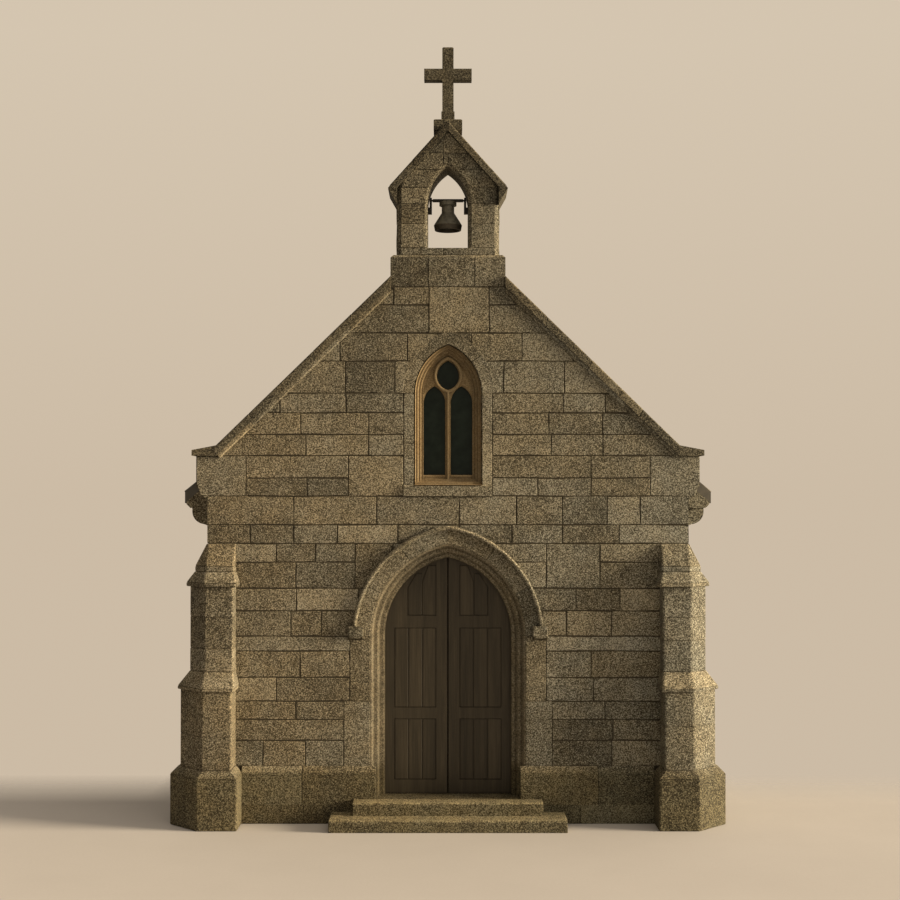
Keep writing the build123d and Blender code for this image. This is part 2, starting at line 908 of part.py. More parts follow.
cross_plane = Plane.XZ.offset(-nave_middle)
with BuildPart() as buttress_front_left:
    mirror(buttress_front_right.part, about=Plane.YZ)
save(buttress_front_left, "buttress_front_left")
for front_buttress, name in (
    (buttress_front_left, "buttress_rear_left"),
    (buttress_front_right, "buttress_rear_right"),
):
    with BuildPart() as rear_buttress:
        mirror(front_buttress.part, about=cross_plane)
    save(rear_buttress, name)

# Kneelers at the feet of the gables, each swelling out over the corner below
with BuildPart() as kneelers:
    with BuildSketch(end_plane(-1, 0)):
        with BuildLine():
            curve_top = gable_foot + kneeler_curve_height
            curve_middle = ((wall_half_width + kneeler_end) / 2, (gable_foot + curve_top) / 2)
            foot_line = Line((kneeler_inner, gable_foot), (wall_half_width, gable_foot))
            lower_curve = TangentArc(foot_line @ 1, curve_middle, tangent=(1, 0))
            upper_curve = TangentArc((kneeler_end, curve_top), curve_middle, tangent=(0, -1))
            Polyline(
                (kneeler_end, curve_top),
                (kneeler_end, kneeler_top),
                (kneeler_inner, kneeler_top),
                (kneeler_inner, gable_foot),
            )
        make_face()
    extrude(amount=-gable_wall)
    mirror(about=Plane.YZ)
    mirror(about=cross_plane)
save(kneelers, "kneelers")

# Copings over the gables
coping_rise = coping_thickness * gable_secant
coping_end = kneeler_end + coping_foot_overhang
coping_bend_x = coping_end - coping_foot_length
coping_bend_z = gable_peak + coping_rise - gable_slope * coping_bend_x
coping_depth = gable_wall + 2 * coping_overhang


def coping_outline(inner):
    """Corners of the right-hand coping from an upright inner end down to its foot."""
    return [
        (inner, gable_peak - gable_slope * inner),
        (coping_foot_x, kneeler_top),
        (coping_end, kneeler_top),
        (coping_end, coping_bend_z - coping_foot_drop),
        (coping_bend_x, coping_bend_z),
        (inner, gable_peak + coping_rise - gable_slope * inner),
    ]


with BuildPart() as front_copings:
    with BuildSketch(end_plane(-1, -coping_overhang)):
        Outline(*coping_outline(bellcote_base_half_width))
    extrude(amount=-coping_depth)
    mirror(about=Plane.YZ)
save(front_copings, "front_copings")

with BuildPart() as rear_coping:
    with BuildSketch(end_plane(1, -coping_overhang)):
        Outline(*coping_outline(0))
    extrude(amount=-coping_depth)
    mirror(about=Plane.YZ)
save(rear_coping, "rear_coping")

# Roof slopes, ridge and eaves
roof_edge = wall_half_width + roof_overhang
for side, name in ((-1, "roof_left"), (1, "roof_right")):
    with BuildPart() as roof_half:
        with BuildSketch(end_plane(-1, gable_wall)):
            Outline(
                (0, roof_peak),
                (side * roof_edge, roof_peak - roof_slope * roof_edge),
                (side * roof_edge, roof_underside_at(roof_edge)),
                (0, roof_underside),
            )
        extrude(amount=-inner_length)
    save(roof_half, name)

ridge_drop = roof_slope * ridge_half_width
with BuildPart() as ridge:
    with BuildSketch(end_plane(-1, gable_wall)):
        with Locations((0, roof_peak + ridge_thickness)):
            Circle(ridge_roll)
        Outline(
            (0, roof_peak),
            (ridge_half_width, roof_peak - ridge_drop),
            (ridge_half_width, roof_peak - ridge_drop + ridge_thickness),
            (0, roof_peak + ridge_thickness),
            (-ridge_half_width, roof_peak - ridge_drop + ridge_thickness),
            (-ridge_half_width, roof_peak - ridge_drop),
        )
        Outline(
            (0, roof_peak),
            (ridge_half_width, roof_peak - ridge_drop),
            (-ridge_half_width, roof_peak - ridge_drop),
            mode=Mode.SUBTRACT,
        )
    extrude(amount=-inner_length)
save(ridge, "ridge")

corbel_edge = wall_half_width + corbel_projection
corbel_run = inner_length - 2 * corbel_end_gap - corbel_width
corbel_pitch = corbel_run / (corbel_count - 1)
with BuildPart() as eaves_right:
    with BuildSketch(end_plane(-1, gable_wall)):
        Outline(
            (wall_half_width, eaves_foot),
            (eaves_edge - eaves_nose, eaves_foot),
            (eaves_edge, eaves_foot + eaves_nose),
            (eaves_edge, roof_underside_at(eaves_edge)),
            (wall_half_width, roof_underside_at(wall_half_width)),
        )
    extrude(amount=-inner_length)
    for index in range(corbel_count):
        with BuildSketch(end_plane(-1, gable_wall + corbel_end_gap + index * corbel_pitch)):
            with BuildLine():
                toe = (wall_half_width + corbel_toe, corbel_foot)
                head = (corbel_edge, eaves_foot - corbel_toe)
                middle = ((toe[0] + head[0]) / 2, (toe[1] + head[1]) / 2)
                TangentArc(toe, middle, tangent=(0, 1))
                TangentArc(head, middle, tangent=(0, -1))
                Polyline(
                    head,
                    (corbel_edge, eaves_foot),
                    (wall_half_width, eaves_foot),
                    (wall_half_width, corbel_foot),
                    toe,
                )
            make_face()
        extrude(amount=-corbel_width)
save(eaves_right, "eaves_right")
with BuildPart() as eaves_left:
    mirror(eaves_right.part, about=Plane.YZ)
save(eaves_left, "eaves_left")

# Bellcote
bellcote_depth = gable_wall - 2 * bellcote_inset
with BuildPart() as bellcote_base:
    with BuildSketch(end_plane(-1, 0)):
        Block(
            -bellcote_base_half_width, bellcote_foot, bellcote_base_half_width, bellcote_base_top
        )
    extrude(amount=-gable_wall)
    chamfer(bellcote_base.edges().group_by(Axis.Z)[-1], bellcote_base_arris)
    with BuildSketch(end_plane(-1, bellcote_inset)):
        Block(-bellcote_half_width, bellcote_base_top, bellcote_half_width, bell_sill)
    extrude(amount=-bellcote_depth)
    course_arrises = bellcote_base.edges().filter_by(Axis.Z).group_by(Axis.Z)[-1]
    chamfer(course_arrises, bellcote_arris)
save(bellcote_base, "bellcote_base")

with BuildPart() as bellcote_piers:
    with BuildSketch(end_plane(-1, bellcote_inset)):
        Block(bell_opening_half_width, bell_sill, bellcote_half_width, bell_springing)
    extrude(amount=-bellcote_depth)
    arrises = bellcote_piers.edges().filter_by(Axis.Z).group_by(Axis.X)
    chamfer(arrises[0], bell_opening_arris)
    chamfer(arrises[-1], bellcote_arris)
    mirror(about=Plane.YZ)
save(bellcote_piers, "bellcote_piers")

with BuildPart() as bellcote_head:
    with BuildSketch(end_plane(-1, bellcote_inset)):
        Outline(
            (-bellcote_half_width, bell_springing),
            (bellcote_half_width, bell_springing),
            (bellcote_half_width, bellcote_shoulder),
            (0, bellcote_peak),
            (-bellcote_half_width, bellcote_shoulder),
        )
        PointedArch(
            bell_opening_half_width, bell_sill, bell_springing, bell_arch_offset, mode=Mode.SUBTRACT
        )
    extrude(amount=-bellcote_depth)
    chamfer(bellcote_head.edges().filter_by(GeomType.CIRCLE), bell_opening_arris)
    chamfer(bellcote_head.edges().filter_by(Axis.Z), bellcote_arris)
save(bellcote_head, "bellcote_head")

eave_tip = bellcote_half_width + bellcote_eave_reach
with BuildPart() as bellcote_coping:
    with BuildSketch(end_plane(-1, bellcote_inset - bellcote_coping_overhang)):
        Outline(
            (0, bellcote_peak),
            (bellcote_half_width, bellcote_shoulder),
            (bellcote_half_width, bellcote_top - bellcote_slope * eave_tip - bellcote_eave_drop),
            (eave_tip, bellcote_top - bellcote_slope * eave_tip),
            (0, bellcote_top),
        )
    extrude(amount=-(bellcote_depth + 2 * bellcote_coping_overhang))
    mirror(about=Plane.YZ)
save(bellcote_coping, "bellcote_coping")

# Saddle stone and cross, midway through the bellcote
notch_half_width = (bellcote_top - saddle_foot) / bellcote_slope
middle_plane = Plane((0, bellcote_middle, 0), x_dir=(1, 0, 0), z_dir=(0, -1, 0))
with BuildPart() as saddle_stone:
    with BuildSketch(middle_plane):
        Outline(
            (-saddle_half_width, saddle_foot),
            (-notch_half_width, saddle_foot),
            (0, bellcote_top),
            (notch_half_width, saddle_foot),
            (saddle_half_width, saddle_foot),
            (saddle_half_width, saddle_top),
            (-saddle_half_width, saddle_top),
        )
    extrude(amount=saddle_depth / 2, both=True)
    chamfer(saddle_stone.edges().group_by(Axis.Z)[-1], cross_arris)
save(saddle_stone, "saddle_stone")

with BuildPart() as cross:
    with BuildSketch(middle_plane):
        Block(-cross_half_width, saddle_top, cross_half_width, saddle_top + cross_height)
        Block(-cross_arm_reach, cross_arm_foot, cross_arm_reach, cross_arm_foot + cross_arm_height)
    extrude(amount=cross_half_width, both=True)
    with BuildSketch(Plane((0, bellcote_middle, saddle_top))):
        Rectangle(2 * collar_half_width, 2 * collar_half_width)
    extrude(amount=collar_height)
    chamfer(cross.edges().group_by(Axis.Z)[-1], cross_arris)
save(cross, "cross")

# Bell on its headstock, between iron bearings on the piers
bell_axis_height = bell_springing + bell_axis_rise
bearing_outer = bell_opening_half_width - bearing_stand_off
bearing_inner = bearing_outer - bearing_thickness
bearing_foot = bell_springing - bearing_drop
headstock_half_length = bearing_inner - headstock_end_gap
gudgeon_end = bearing_outer - gudgeon_end_gap
with BuildPart() as bell_bearings:
    bearing_top = bell_axis_height + gudgeon_radius + bearing_top_cover
    with BuildSketch(middle_plane):
        Block(bearing_inner, bearing_foot, bearing_outer, bearing_top)
        Block(bearing_inner, bearing_foot, bell_opening_half_width, bell_springing)
    extrude(amount=bearing_depth / 2, both=True)
    bore_plane = Plane(
        (bearing_inner, bellcote_middle, bell_axis_height), x_dir=(0, 1, 0), z_dir=(1, 0, 0)
    )
    with BuildSketch(bore_plane):
        Circle(gudgeon_radius + bearing_clearance)
    extrude(amount=bearing_outer - bearing_inner, mode=Mode.SUBTRACT)
    mirror(about=Plane.YZ)
save(bell_bearings, "bell_bearings")

bar_plane = Plane((0, bellcote_middle, bell_axis_height), x_dir=(0, 1, 0), z_dir=(1, 0, 0))
with BuildPart() as bell_headstock:
    with BuildSketch(bar_plane):
        Rectangle(headstock_size, headstock_size)
    extrude(amount=headstock_half_length, both=True)
    with BuildSketch(bar_plane):
        Circle(gudgeon_radius)
    extrude(amount=gudgeon_end, both=True)
save(bell_headstock, "bell_headstock")

crown_top = bell_axis_height - headstock_size / 2
crown_foot = crown_top - bell_crown_height
bell_shoulder = crown_foot - bell_neck_height
bell_waist = bell_shoulder - bell_shoulder_height
bell_lip = bell_waist - bell_flare_height
bell_mouth = bell_lip - bell_rim_height
bell_ceiling = bell_shoulder - bell_wall
clapper_ball_height = bell_mouth + clapper_rise
with BuildPart() as bell:
    with BuildSketch(middle_plane):
        with BuildLine():
            waist = Spline(
                (bell_neck_radius, bell_shoulder),
                (bell_waist_radius, bell_waist),
                (bell_lip_radius, bell_lip),
            )
            inner = Spline(
                (bell_rim_radius - bell_wall, bell_mouth),
                (bell_waist_radius - bell_wall, bell_waist - bell_wall),
                (bell_neck_radius - bell_wall, bell_ceiling),
            )
            Polyline(
                (bell_lip_radius, bell_lip),
                (bell_rim_radius, bell_mouth),
                (bell_rim_radius - bell_wall, bell_mouth),
            )
            Polyline(
                (bell_neck_radius - bell_wall, bell_ceiling),
                (0, bell_ceiling),
                (0, crown_top),
                (bell_crown_radius, crown_top),
                (bell_crown_radius, crown_foot),
                (bell_neck_radius, crown_foot),
                (bell_neck_radius, bell_shoulder),
            )
        make_face()
    revolve(axis=Axis((0, bellcote_middle, 0), (0, 0, 1)))
save(bell, "bell")

with BuildPart() as bell_clapper:
    with BuildSketch(Plane((0, bellcote_middle, clapper_ball_height))):
        Circle(clapper_rod_radius)
    extrude(amount=bell_ceiling - clapper_ball_height)
    with Locations((0, bellcote_middle, clapper_ball_height)):
        Sphere(clapper_ball_radius)
save(bell_clapper, "bell_clapper")
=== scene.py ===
import json
import math

import bpy
import numpy as np
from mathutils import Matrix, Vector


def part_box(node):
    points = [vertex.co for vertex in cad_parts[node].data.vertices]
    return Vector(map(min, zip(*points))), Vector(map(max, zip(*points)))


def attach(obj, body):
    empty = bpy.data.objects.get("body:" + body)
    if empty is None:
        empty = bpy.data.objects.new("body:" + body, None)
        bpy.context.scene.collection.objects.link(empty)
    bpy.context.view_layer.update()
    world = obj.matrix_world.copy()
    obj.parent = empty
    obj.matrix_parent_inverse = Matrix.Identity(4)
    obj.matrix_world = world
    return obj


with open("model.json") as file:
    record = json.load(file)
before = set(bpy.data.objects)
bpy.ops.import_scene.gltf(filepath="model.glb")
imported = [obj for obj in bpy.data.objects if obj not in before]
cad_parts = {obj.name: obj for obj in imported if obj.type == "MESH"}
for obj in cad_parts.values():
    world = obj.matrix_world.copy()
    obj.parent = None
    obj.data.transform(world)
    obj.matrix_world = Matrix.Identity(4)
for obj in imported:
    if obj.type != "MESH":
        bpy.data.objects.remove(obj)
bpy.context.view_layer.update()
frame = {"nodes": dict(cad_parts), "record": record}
nodes = frame["nodes"]
print("frame loaded:", len(nodes), "nodes")

# Places read from the frame, in metres
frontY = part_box("front_wall_left")[0].y
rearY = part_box("rear_wall")[1].y
middleY = (frontY + rearY) / 2
halfLength = (rearY - frontY) / 2
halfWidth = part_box("front_wall_right")[1].x
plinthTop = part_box("front_plinth")[1].z
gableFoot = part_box("front_gable")[0].z
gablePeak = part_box("rear_wall")[1].z
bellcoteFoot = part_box("bellcote_base")[0].z
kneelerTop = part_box("kneelers")[1].z
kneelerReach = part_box("kneelers")[1].x
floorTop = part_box("floor_slab")[1].z
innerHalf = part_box("floor_slab")[1].x
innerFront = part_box("floor_slab")[0].y
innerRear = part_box("floor_slab")[1].y
slopeAngles = {"gable": 44.2, "bellcote": 48}  # degrees, as in the CAD
gableSlope, bellcoteSlope = [math.tan(math.radians(angle)) for angle in slopeAngles.values()]
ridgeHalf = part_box("ridge")[1].x
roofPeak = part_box("roof_right")[1].z
roofSlope = (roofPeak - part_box("ridge")[0].z) / ridgeHalf


def operator(operation, swapped=False):  # one sign of an expression on wires
    def act(wire, other):
        return wire.math(operation, other, wire) if swapped else wire.math(operation, wire, other)
    return act


class Wire:  # one socket of a material; an expression on wires adds its Math nodes
    __add__ = operator("ADD")
    __radd__ = operator("ADD", True)
    __sub__ = operator("SUBTRACT")
    __rsub__ = operator("SUBTRACT", True)
    __mul__ = operator("MULTIPLY")
    __rmul__ = operator("MULTIPLY", True)
    __truediv__ = operator("DIVIDE")
    __pow__ = operator("POWER")

    def __init__(self, tree, socket):
        self.tree = tree
        self.socket = socket

    def __abs__(self):
        return self.math("ABSOLUTE", self)

    def node(self, kind, settings, sockets, output=0):
        made = self.tree.nodes.new(kind)
        for name, value in settings.items():
            if name == "stops":
                setStops(made.color_ramp, value)
            else:
                setattr(made, name, value)
        for name, value in sockets.items():
            if isinstance(value, Wire):
                self.tree.links.new(value.socket, made.inputs[name])
            else:
                made.inputs[name].default_value = value
        return Wire(self.tree, made.outputs[output])

    def math(self, operation, first, second=0.0):
        return self.node("ShaderNodeMath", {"operation": operation}, {0: first, 1: second})

    def clamped(self):
        return self.node("ShaderNodeClamp", {}, {0: self})


def setStops(ramp, stops):
    for index, (place, colour) in enumerate(stops):
        stop = ramp.elements[index] if index < 2 else ramp.elements.new(place)
        stop.position = place
        stop.color = (*colour, 1)


def blend(share, first, second, kind="MIX"):  # colour first, going to second as share goes to 1
    wire = next(value for value in (share, first, second) if isinstance(value, Wire))
    first, second = [value if isinstance(value, Wire) else (*value, 1) for value in (first, second)]
    settings = {"data_type": "RGBA", "blend_type": kind}
    return wire.node("ShaderNodeMix", settings, {0: share, 6: first, 7: second}, 2)


def tinted(colour, factors, share=1.0):  # colour x factors, as far as share goes
    return blend(share, colour, factors, "MULTIPLY")


def newFinish(name, **settings):  # a material, its shader and its Object coordinates
    material = bpy.data.materials.new(name)
    material.use_nodes = True
    tree = material.node_tree
    shader = tree.nodes["Principled BSDF"]
    for socket, value in settings.items():
        shader.inputs[socket.replace("_", " ")].default_value = value
    place = Wire(tree, tree.nodes.new("ShaderNodeTexCoord").outputs["Object"])
    return material, shader, place


def feed(shader, socket, wire):
    wire.tree.links.new(wire.socket, shader.inputs[socket])


def noise(place, scale, detail=3.0, roughness=0.55):
    sockets = {"Vector": place, "Scale": scale, "Detail": detail, "Roughness": roughness}
    return place.node("ShaderNodeTexNoise", {}, sockets, "Fac")


def stretched(place, scale):
    return place.node("ShaderNodeMapping", {}, {"Vector": place, "Scale": scale})


def bumped(shader, height, strength, distance):
    sockets = {"Strength": strength, "Distance": distance, "Height": height}
    feed(shader, "Normal", height.node("ShaderNodeBump", {}, sockets, "Normal"))


def axisOf(place, axis):  # metres along one axis
    return place.node("ShaderNodeSeparateXYZ", {}, {0: place}, axis)


def heightOf(place):  # metres above the ground
    return axisOf(place, "Z")


def over(value, start, run):  # 0 up to start, 1 past start + run
    return ((value - start) / run).clamped()


def ramp(level, places, colours):  # colour by level
    return level.node("ShaderNodeValToRGB", {"stops": list(zip(places, colours))}, {0: level})


def attribute(place, name):
    return place.node("ShaderNodeAttribute", {"attribute_name": name}, {}, "Fac")


def facing(place, axis):  # the surface normal's share along one axis
    return axisOf(place.node("ShaderNodeNewGeometry", {}, {}, "Normal"), axis)


def facingUp(place):  # 0 on upright faces, 1 on faces that look well upwards
    return over(facing(place, "Z"), 0.2, 0.5)


graniteLook = {
    "grain": 66, "grainShare": 2.6,  # mottling, a centimetre or two
    "crystal": 96, "crystalShare": 0.7,  # mica and feldspar, about a centimetre
    "patch": 6, "patchShare": 0.35,  # blotches inside one stone
    "cloud": 1.3, "cloudShare": 0.4,  # weather stains, about a metre
    "toneShare": 0.17, "hueShare": 0.4,  # how far each stone has its own tone and hue
    "tint": 3.2, "tintShare": 1.8,  # brown and green-grey clouds, about a third of a metre
    "brown": (1.04, 1.0, 0.915), "green": (0.955, 1.0, 1.055),
    "leftSide": (1.0, 0.97, 0.925), "rightSide": (1.01, 1.055, 1.105),  # painted light and shade: darker and browner on the left, lighter and greyer on the right
    "sideFrom": -3, "sideRun": 6,  # metres, from the left side to the right
    "lichen": (0.30, 0.28, 0.20), "lichenShare": 0.3, "spot": 9, "spotFrom": 0.66, "spotRun": 1 / 9,
    "damp": (0.57, 0.55, 0.445), "dampTop": 0.74, "dampRun": 0.12,
    "sooty": (0.745, 0.74, 0.72), "sootFrom": 4.6, "sootRun": 3,  # painted shade: darker high up
    "joint": (0.35, 0.33, 0.28),  # dirt at the edges of a stone; also painted shade, in the door's hollows and under the label stops
    "levels": (0.1, 0.5, 1.0),  # of the dark, middle and light colours
    "wornTint": (1, 0.97, 0.93), "relief": 0.006,
}


def granite(name, colours, rough=0.9, relief=0.5, speckle=1.0, shade=None, worn=1.5, bleached=None):
    look = graniteLook
    material, shader, place = newFinish(name, Roughness=rough, Specular_IOR_Level=0.25)
    height = heightOf(place)
    grain = noise(place, look["grain"], 4, 0.7)
    cell = place.node("ShaderNodeTexVoronoi", {}, {"Vector": place, "Scale": look["crystal"]}, "Color")
    cell = cell.node("ShaderNodeSeparateColor", {}, {0: cell}, "Red")
    cloud = noise(place, look["cloud"], 5, 0.6)
    patch = noise(place, look["patch"], 4, 0.6)
    fine = (grain - 0.5) * look["grainShare"] + (cell - 0.5) * look["crystalShare"]
    broad = (cloud - 0.5) * look["cloudShare"] + (patch - 0.5) * look["patchShare"]
    level = 0.5 + fine * speckle + broad + attribute(place, "tone") * look["toneShare"]
    colour = ramp(level, look["levels"], colours)
    drift = (noise(place, look["tint"], 3, 0.6) - 0.5) * look["tintShare"]
    tint = (attribute(place, "hue") * look["hueShare"] + 0.5 + drift).clamped()
    colour = tinted(colour, blend(tint, look["brown"], look["green"]))
    # painted light and shade across the building: darker and browner on the left, lighter and greyer on the
    # right
    rightward = over(axisOf(place, "X"), look["sideFrom"], look["sideRun"])
    colour = tinted(colour, blend(rightward, look["leftSide"], look["rightSide"]))
    spots = over(noise(place, look["spot"], 3, 0.6), look["spotFrom"], look["spotRun"])
    colour = blend(spots * look["lichenShare"], colour, look["lichen"])
    # darker towards the foot: damp, and partly painted shade
    low = over(look["dampTop"] - height, 0, look["dampRun"])
    colour = tinted(colour, look["damp"], low * (0.6 + cloud * 0.6))
    # painted shade: the stone darker high up
    colour = tinted(colour, look["sooty"], over(height, look["sootFrom"], look["sootRun"]))
    # faces that look upwards lighter: wear, and partly painted light from above
    topLitWear = [worn * share for share in look["wornTint"]]
    colour = tinted(colour, topLitWear, facingUp(place) * (0.5 + patch * 0.5))
    colour = tinted(colour, look["joint"], attribute(place, "edge"))
    # painted shade, such as along the hollows of the door's orders
    if shade is not None:
        colour = tinted(colour, look["joint"], shade(place))
    if bleached is not None:  # painted light and shade: faces turned to the right lighter, faces turned to the left darker
        colour = tinted(colour, blend(over(facing(place, "X"), -1, 2), *bleached))
    feed(shader, "Base Color", colour)
    bumped(shader, grain * 0.7 + cell * 0.3, relief, look["relief"])
    return material


doorOrders = {"springing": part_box("door_arch")[0].z, "offset": 0.20, "hollows": (0.926, 0.856, 0.800),
              "width": 0.019, "dirt": 0.75}


def hollowDirtAndShade(place):  # painted shade and dirt along the hollows of the orders; line through a point = half width of its jamb, or of its arc struck past the middle
    side = abs(axisOf(place, "X")) + doorOrders["offset"]
    rise = place.math("MAXIMUM", heightOf(place) - doorOrders["springing"], 0.0)
    line = (side * side + rise * rise) ** 0.5 - doorOrders["offset"]
    dirt = sum((1 - abs(line - hollow) / doorOrders["width"]).clamped() for hollow in doorOrders["hollows"])
    return dirt * doorOrders["dirt"]


coreLook = {"margin": 0.03, "edge": 0.005, "grit": 60, "stain": 1.4,
            "lime": ((0.03, 0.026, 0.018), (0.075, 0.064, 0.045)),
            "wash": ((0.5, 0.46, 0.38), (0.62, 0.58, 0.5))}


def mortared(name):  # wall cores: lime mortar in the joints outside, limewash inside and under the roof
    material, shader, place = newFinish(name, Roughness=0.95, Specular_IOR_Level=0.2)
    across = abs(axisOf(place, "X"))
    along = abs(axisOf(place, "Y") - middleY)
    rooms = [roofPeak - across * roofSlope - heightOf(place), innerHalf + coreLook["margin"] - across,
             innerRear + coreLook["margin"] - middleY - along]
    underRoof, acrossIn, alongIn = [(room / coreLook["edge"]).clamped() for room in rooms]
    grit = noise(place, coreLook["grit"], 4, 0.7)
    lime = ramp(grit, (0.3, 0.75), coreLook["lime"])
    wash = ramp(noise(place, coreLook["stain"], 4), (0.3, 0.7), coreLook["wash"])
    feed(shader, "Base Color", blend(acrossIn * alongIn * underRoof, lime, wash))
    bumped(shader, grit, 0.4, 0.004)
    return material


# Slate has soft ridges along the slope, and fumed oak has its grain drawn out along the boards' height
slateLook = {
    "rough": 0.6, "gloss": 0.35, "grain": (9, 26, 9), "fine": 5, "cloud": (1.1, 1.1, 1.1), "soft": (4, 0.6),
    "grainShare": 0.5, "cloudShare": 0.5, "toneShare": 0.22, "edgeShare": 0.85, "bump": (0.5, 0.004),
    "colours": ((0.040, 0.038, 0.034), (0.092, 0.086, 0.074), (0.18, 0.165, 0.135)),
    "dirt": (0.012, 0.011, 0.009), "moss": (0.13, 0.125, 0.06), "mossShare": 0.45, "mossPatch": 5,
}
oakLook = {
    "rough": 0.55, "gloss": 0.3, "grain": (70, 70, 2.2), "fine": 6, "cloud": (12, 12, 0.7), "soft": (3, 0.5),
    "grainShare": 0.7, "cloudShare": 0.6, "toneShare": 0.16, "edgeShare": 0.9, "bump": (0.35, 0.002),
    "colours": ((0.013, 0.011, 0.0068), (0.040, 0.0325, 0.0205), (0.086, 0.070, 0.045)),
    "dirt": (0.004, 0.0035, 0.002),
}


def grained(name, look):  # each slate or board in its own tone, dirt and painted shade at its edges
    material, shader, place = newFinish(name, Roughness=look["rough"], Specular_IOR_Level=look["gloss"])
    grain = noise(stretched(place, look["grain"]), 1.0, look["fine"], 0.65)
    cloud = noise(stretched(place, look["cloud"]), 1.0, *look["soft"])
    level = 0.5 + (grain - 0.5) * look["grainShare"] + (cloud - 0.5) * look["cloudShare"]
    level = level + attribute(place, "tone") * look["toneShare"]
    colour = ramp(level, (0.1, 0.5, 0.95), look["colours"])
    if "moss" in look:
        patches = over(noise(place, look["mossPatch"], 4, 0.6), 0.6, 1 / 6)
        colour = blend(patches * look["mossShare"], colour, look["moss"])
    feed(shader, "Base Color", blend(attribute(place, "edge") * look["edgeShare"], colour, look["dirt"]))
    bumped(shader, grain, *look["bump"])
    return material


bellRim = {"top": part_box("bell")[0].z + 0.065, "blur": 0.006, "dark": (0.42, 0.37, 0.33)}


def wroughtIron(name, colours, metal, rim=None):  # iron or bronze; a bell is dark below the top of its rim
    material, shader, place = newFinish(name, Metallic=metal, Roughness=0.55)
    bloom = noise(place, 22, 5, 0.65)
    colour = ramp(bloom, (0.25, 0.8), colours)
    if rim is not None:
        colour = tinted(colour, rim["dark"], over(rim["top"] - heightOf(place), 0, rim["blur"]))
    feed(shader, "Base Color", colour)
    feed(shader, "Roughness", 0.38 + bloom * 0.4)
    bumped(shader, bloom, 0.25, 0.002)
    return material


def oldGlass(name, colours):  # dark quarries, a little wavy
    material, shader, place = newFinish(name, Roughness=0.16, Specular_IOR_Level=0.16)
    wave = noise(place, 7, 2, 0.5)
    feed(shader, "Base Color", ramp(wave, (0.3, 0.7), colours))
    bumped(shader, wave, 0.12, 0.01)
    return material


paleGranite = ((0.028, 0.024, 0.016), (0.113, 0.0985, 0.068), (0.37, 0.335, 0.255))
wallStone = granite("wallGranite", ((0.024, 0.0205, 0.0138), (0.106, 0.0925, 0.064), (0.37, 0.335, 0.255)))
dressedStone = granite("dressedGranite", paleGranite)
# step treads much lighter on top: wear, and painted light
stepStone = granite("stepGranite", paleGranite, worn=3.0)
weatheredStone = granite("weatheredGranite",
                         ((0.014, 0.012, 0.008), (0.062, 0.053, 0.036), (0.22, 0.195, 0.14)))
mouldedStone = granite("mouldedGranite", ((0.028, 0.023, 0.014), (0.118, 0.100, 0.068), (0.33, 0.285, 0.205)),
                       0.88, 0.25, 0.6, hollowDirtAndShade)
# a lighter copy of the splay stone: painted light on the tracery in the reveal's shade
traceryStone = granite("traceryStone", ((0.135, 0.092, 0.044), (0.27, 0.203, 0.116), (0.42, 0.33, 0.20)),
                       0.85, 0.2, 0.55, bleached=((0.62, 0.60, 0.58), (1.3, 1.27, 1.2)))
splayStone = granite("splayStone", ((0.10, 0.067, 0.032), (0.20, 0.148, 0.084), (0.32, 0.248, 0.15)),
                     0.85, 0.2, 0.55, bleached=((0.52, 0.51, 0.49), (1.2, 1.18, 1.12)))
wallCore = mortared("mortar")
slate = grained("slate", slateLook)
oak = grained("oak", oakLook)
iron = wroughtIron("iron", ((0.012, 0.012, 0.012), (0.05, 0.045, 0.04)), 0.7)
bronze = wroughtIron("bellBronze", ((0.070, 0.067, 0.055), (0.22, 0.21, 0.168)), 0.45, bellRim)
glass = oldGlass("glass", ((0.0095, 0.0172, 0.0136), (0.0188, 0.0306, 0.0240)))
print("finishes made:", len(bpy.data.materials))

slotFinishes = {"granite": wallStone, "dressed_granite": dressedStone, "slate": slate, "oak": oak,
                "iron": iron, "glass": glass, "bell_bronze": bronze}
nodeFinishes = [
    (wallCore, ["front_wall_left", "front_wall_right", "front_gable", "side_wall_left", "side_wall_right",
                "side_piers", "side_wall_heads", "rear_wall"]),
    (traceryStone, ["front_window_tracery", "rear_window_tracery", "side_window_frames"]),
    (weatheredStone, ["front_copings", "rear_coping", "bellcote_coping", "saddle_stone", "cross"]),
    (mouldedStone, ["door_jambs", "door_arch"]),
]
for part in frame["record"]["subparts"]:
    node = nodes[part["node"]]
    node.data.materials.clear()
    node.data.materials.append(slotFinishes[part["material_slot"]])
for finish, names in nodeFinishes:
    for name in names:
        nodes[name].data.materials[0] = finish


def gridFaces(count, rows, columns):  # quads of count grids of points, numbered row after row
    corner = np.arange(rows * columns).reshape(rows, columns)
    quad = np.stack([corner[:-1, :-1], corner[:-1, 1:], corner[1:, 1:], corner[1:, :-1]], -1).reshape(-1, 4)
    return (np.arange(count)[:, None, None] * rows * columns + quad).reshape(-1, 4)


def turned(flat, faces, normals):  # the faces, wound so that they look along the normals at their points
    quad = flat[faces]
    looks = np.cross(quad[:, 2] - quad[:, 0], quad[:, 3] - quad[:, 1])
    wanted = normals.reshape(-1, 3)[faces].mean(1)
    return faces[:, ::-1] if (looks * wanted).sum() < 0 else faces


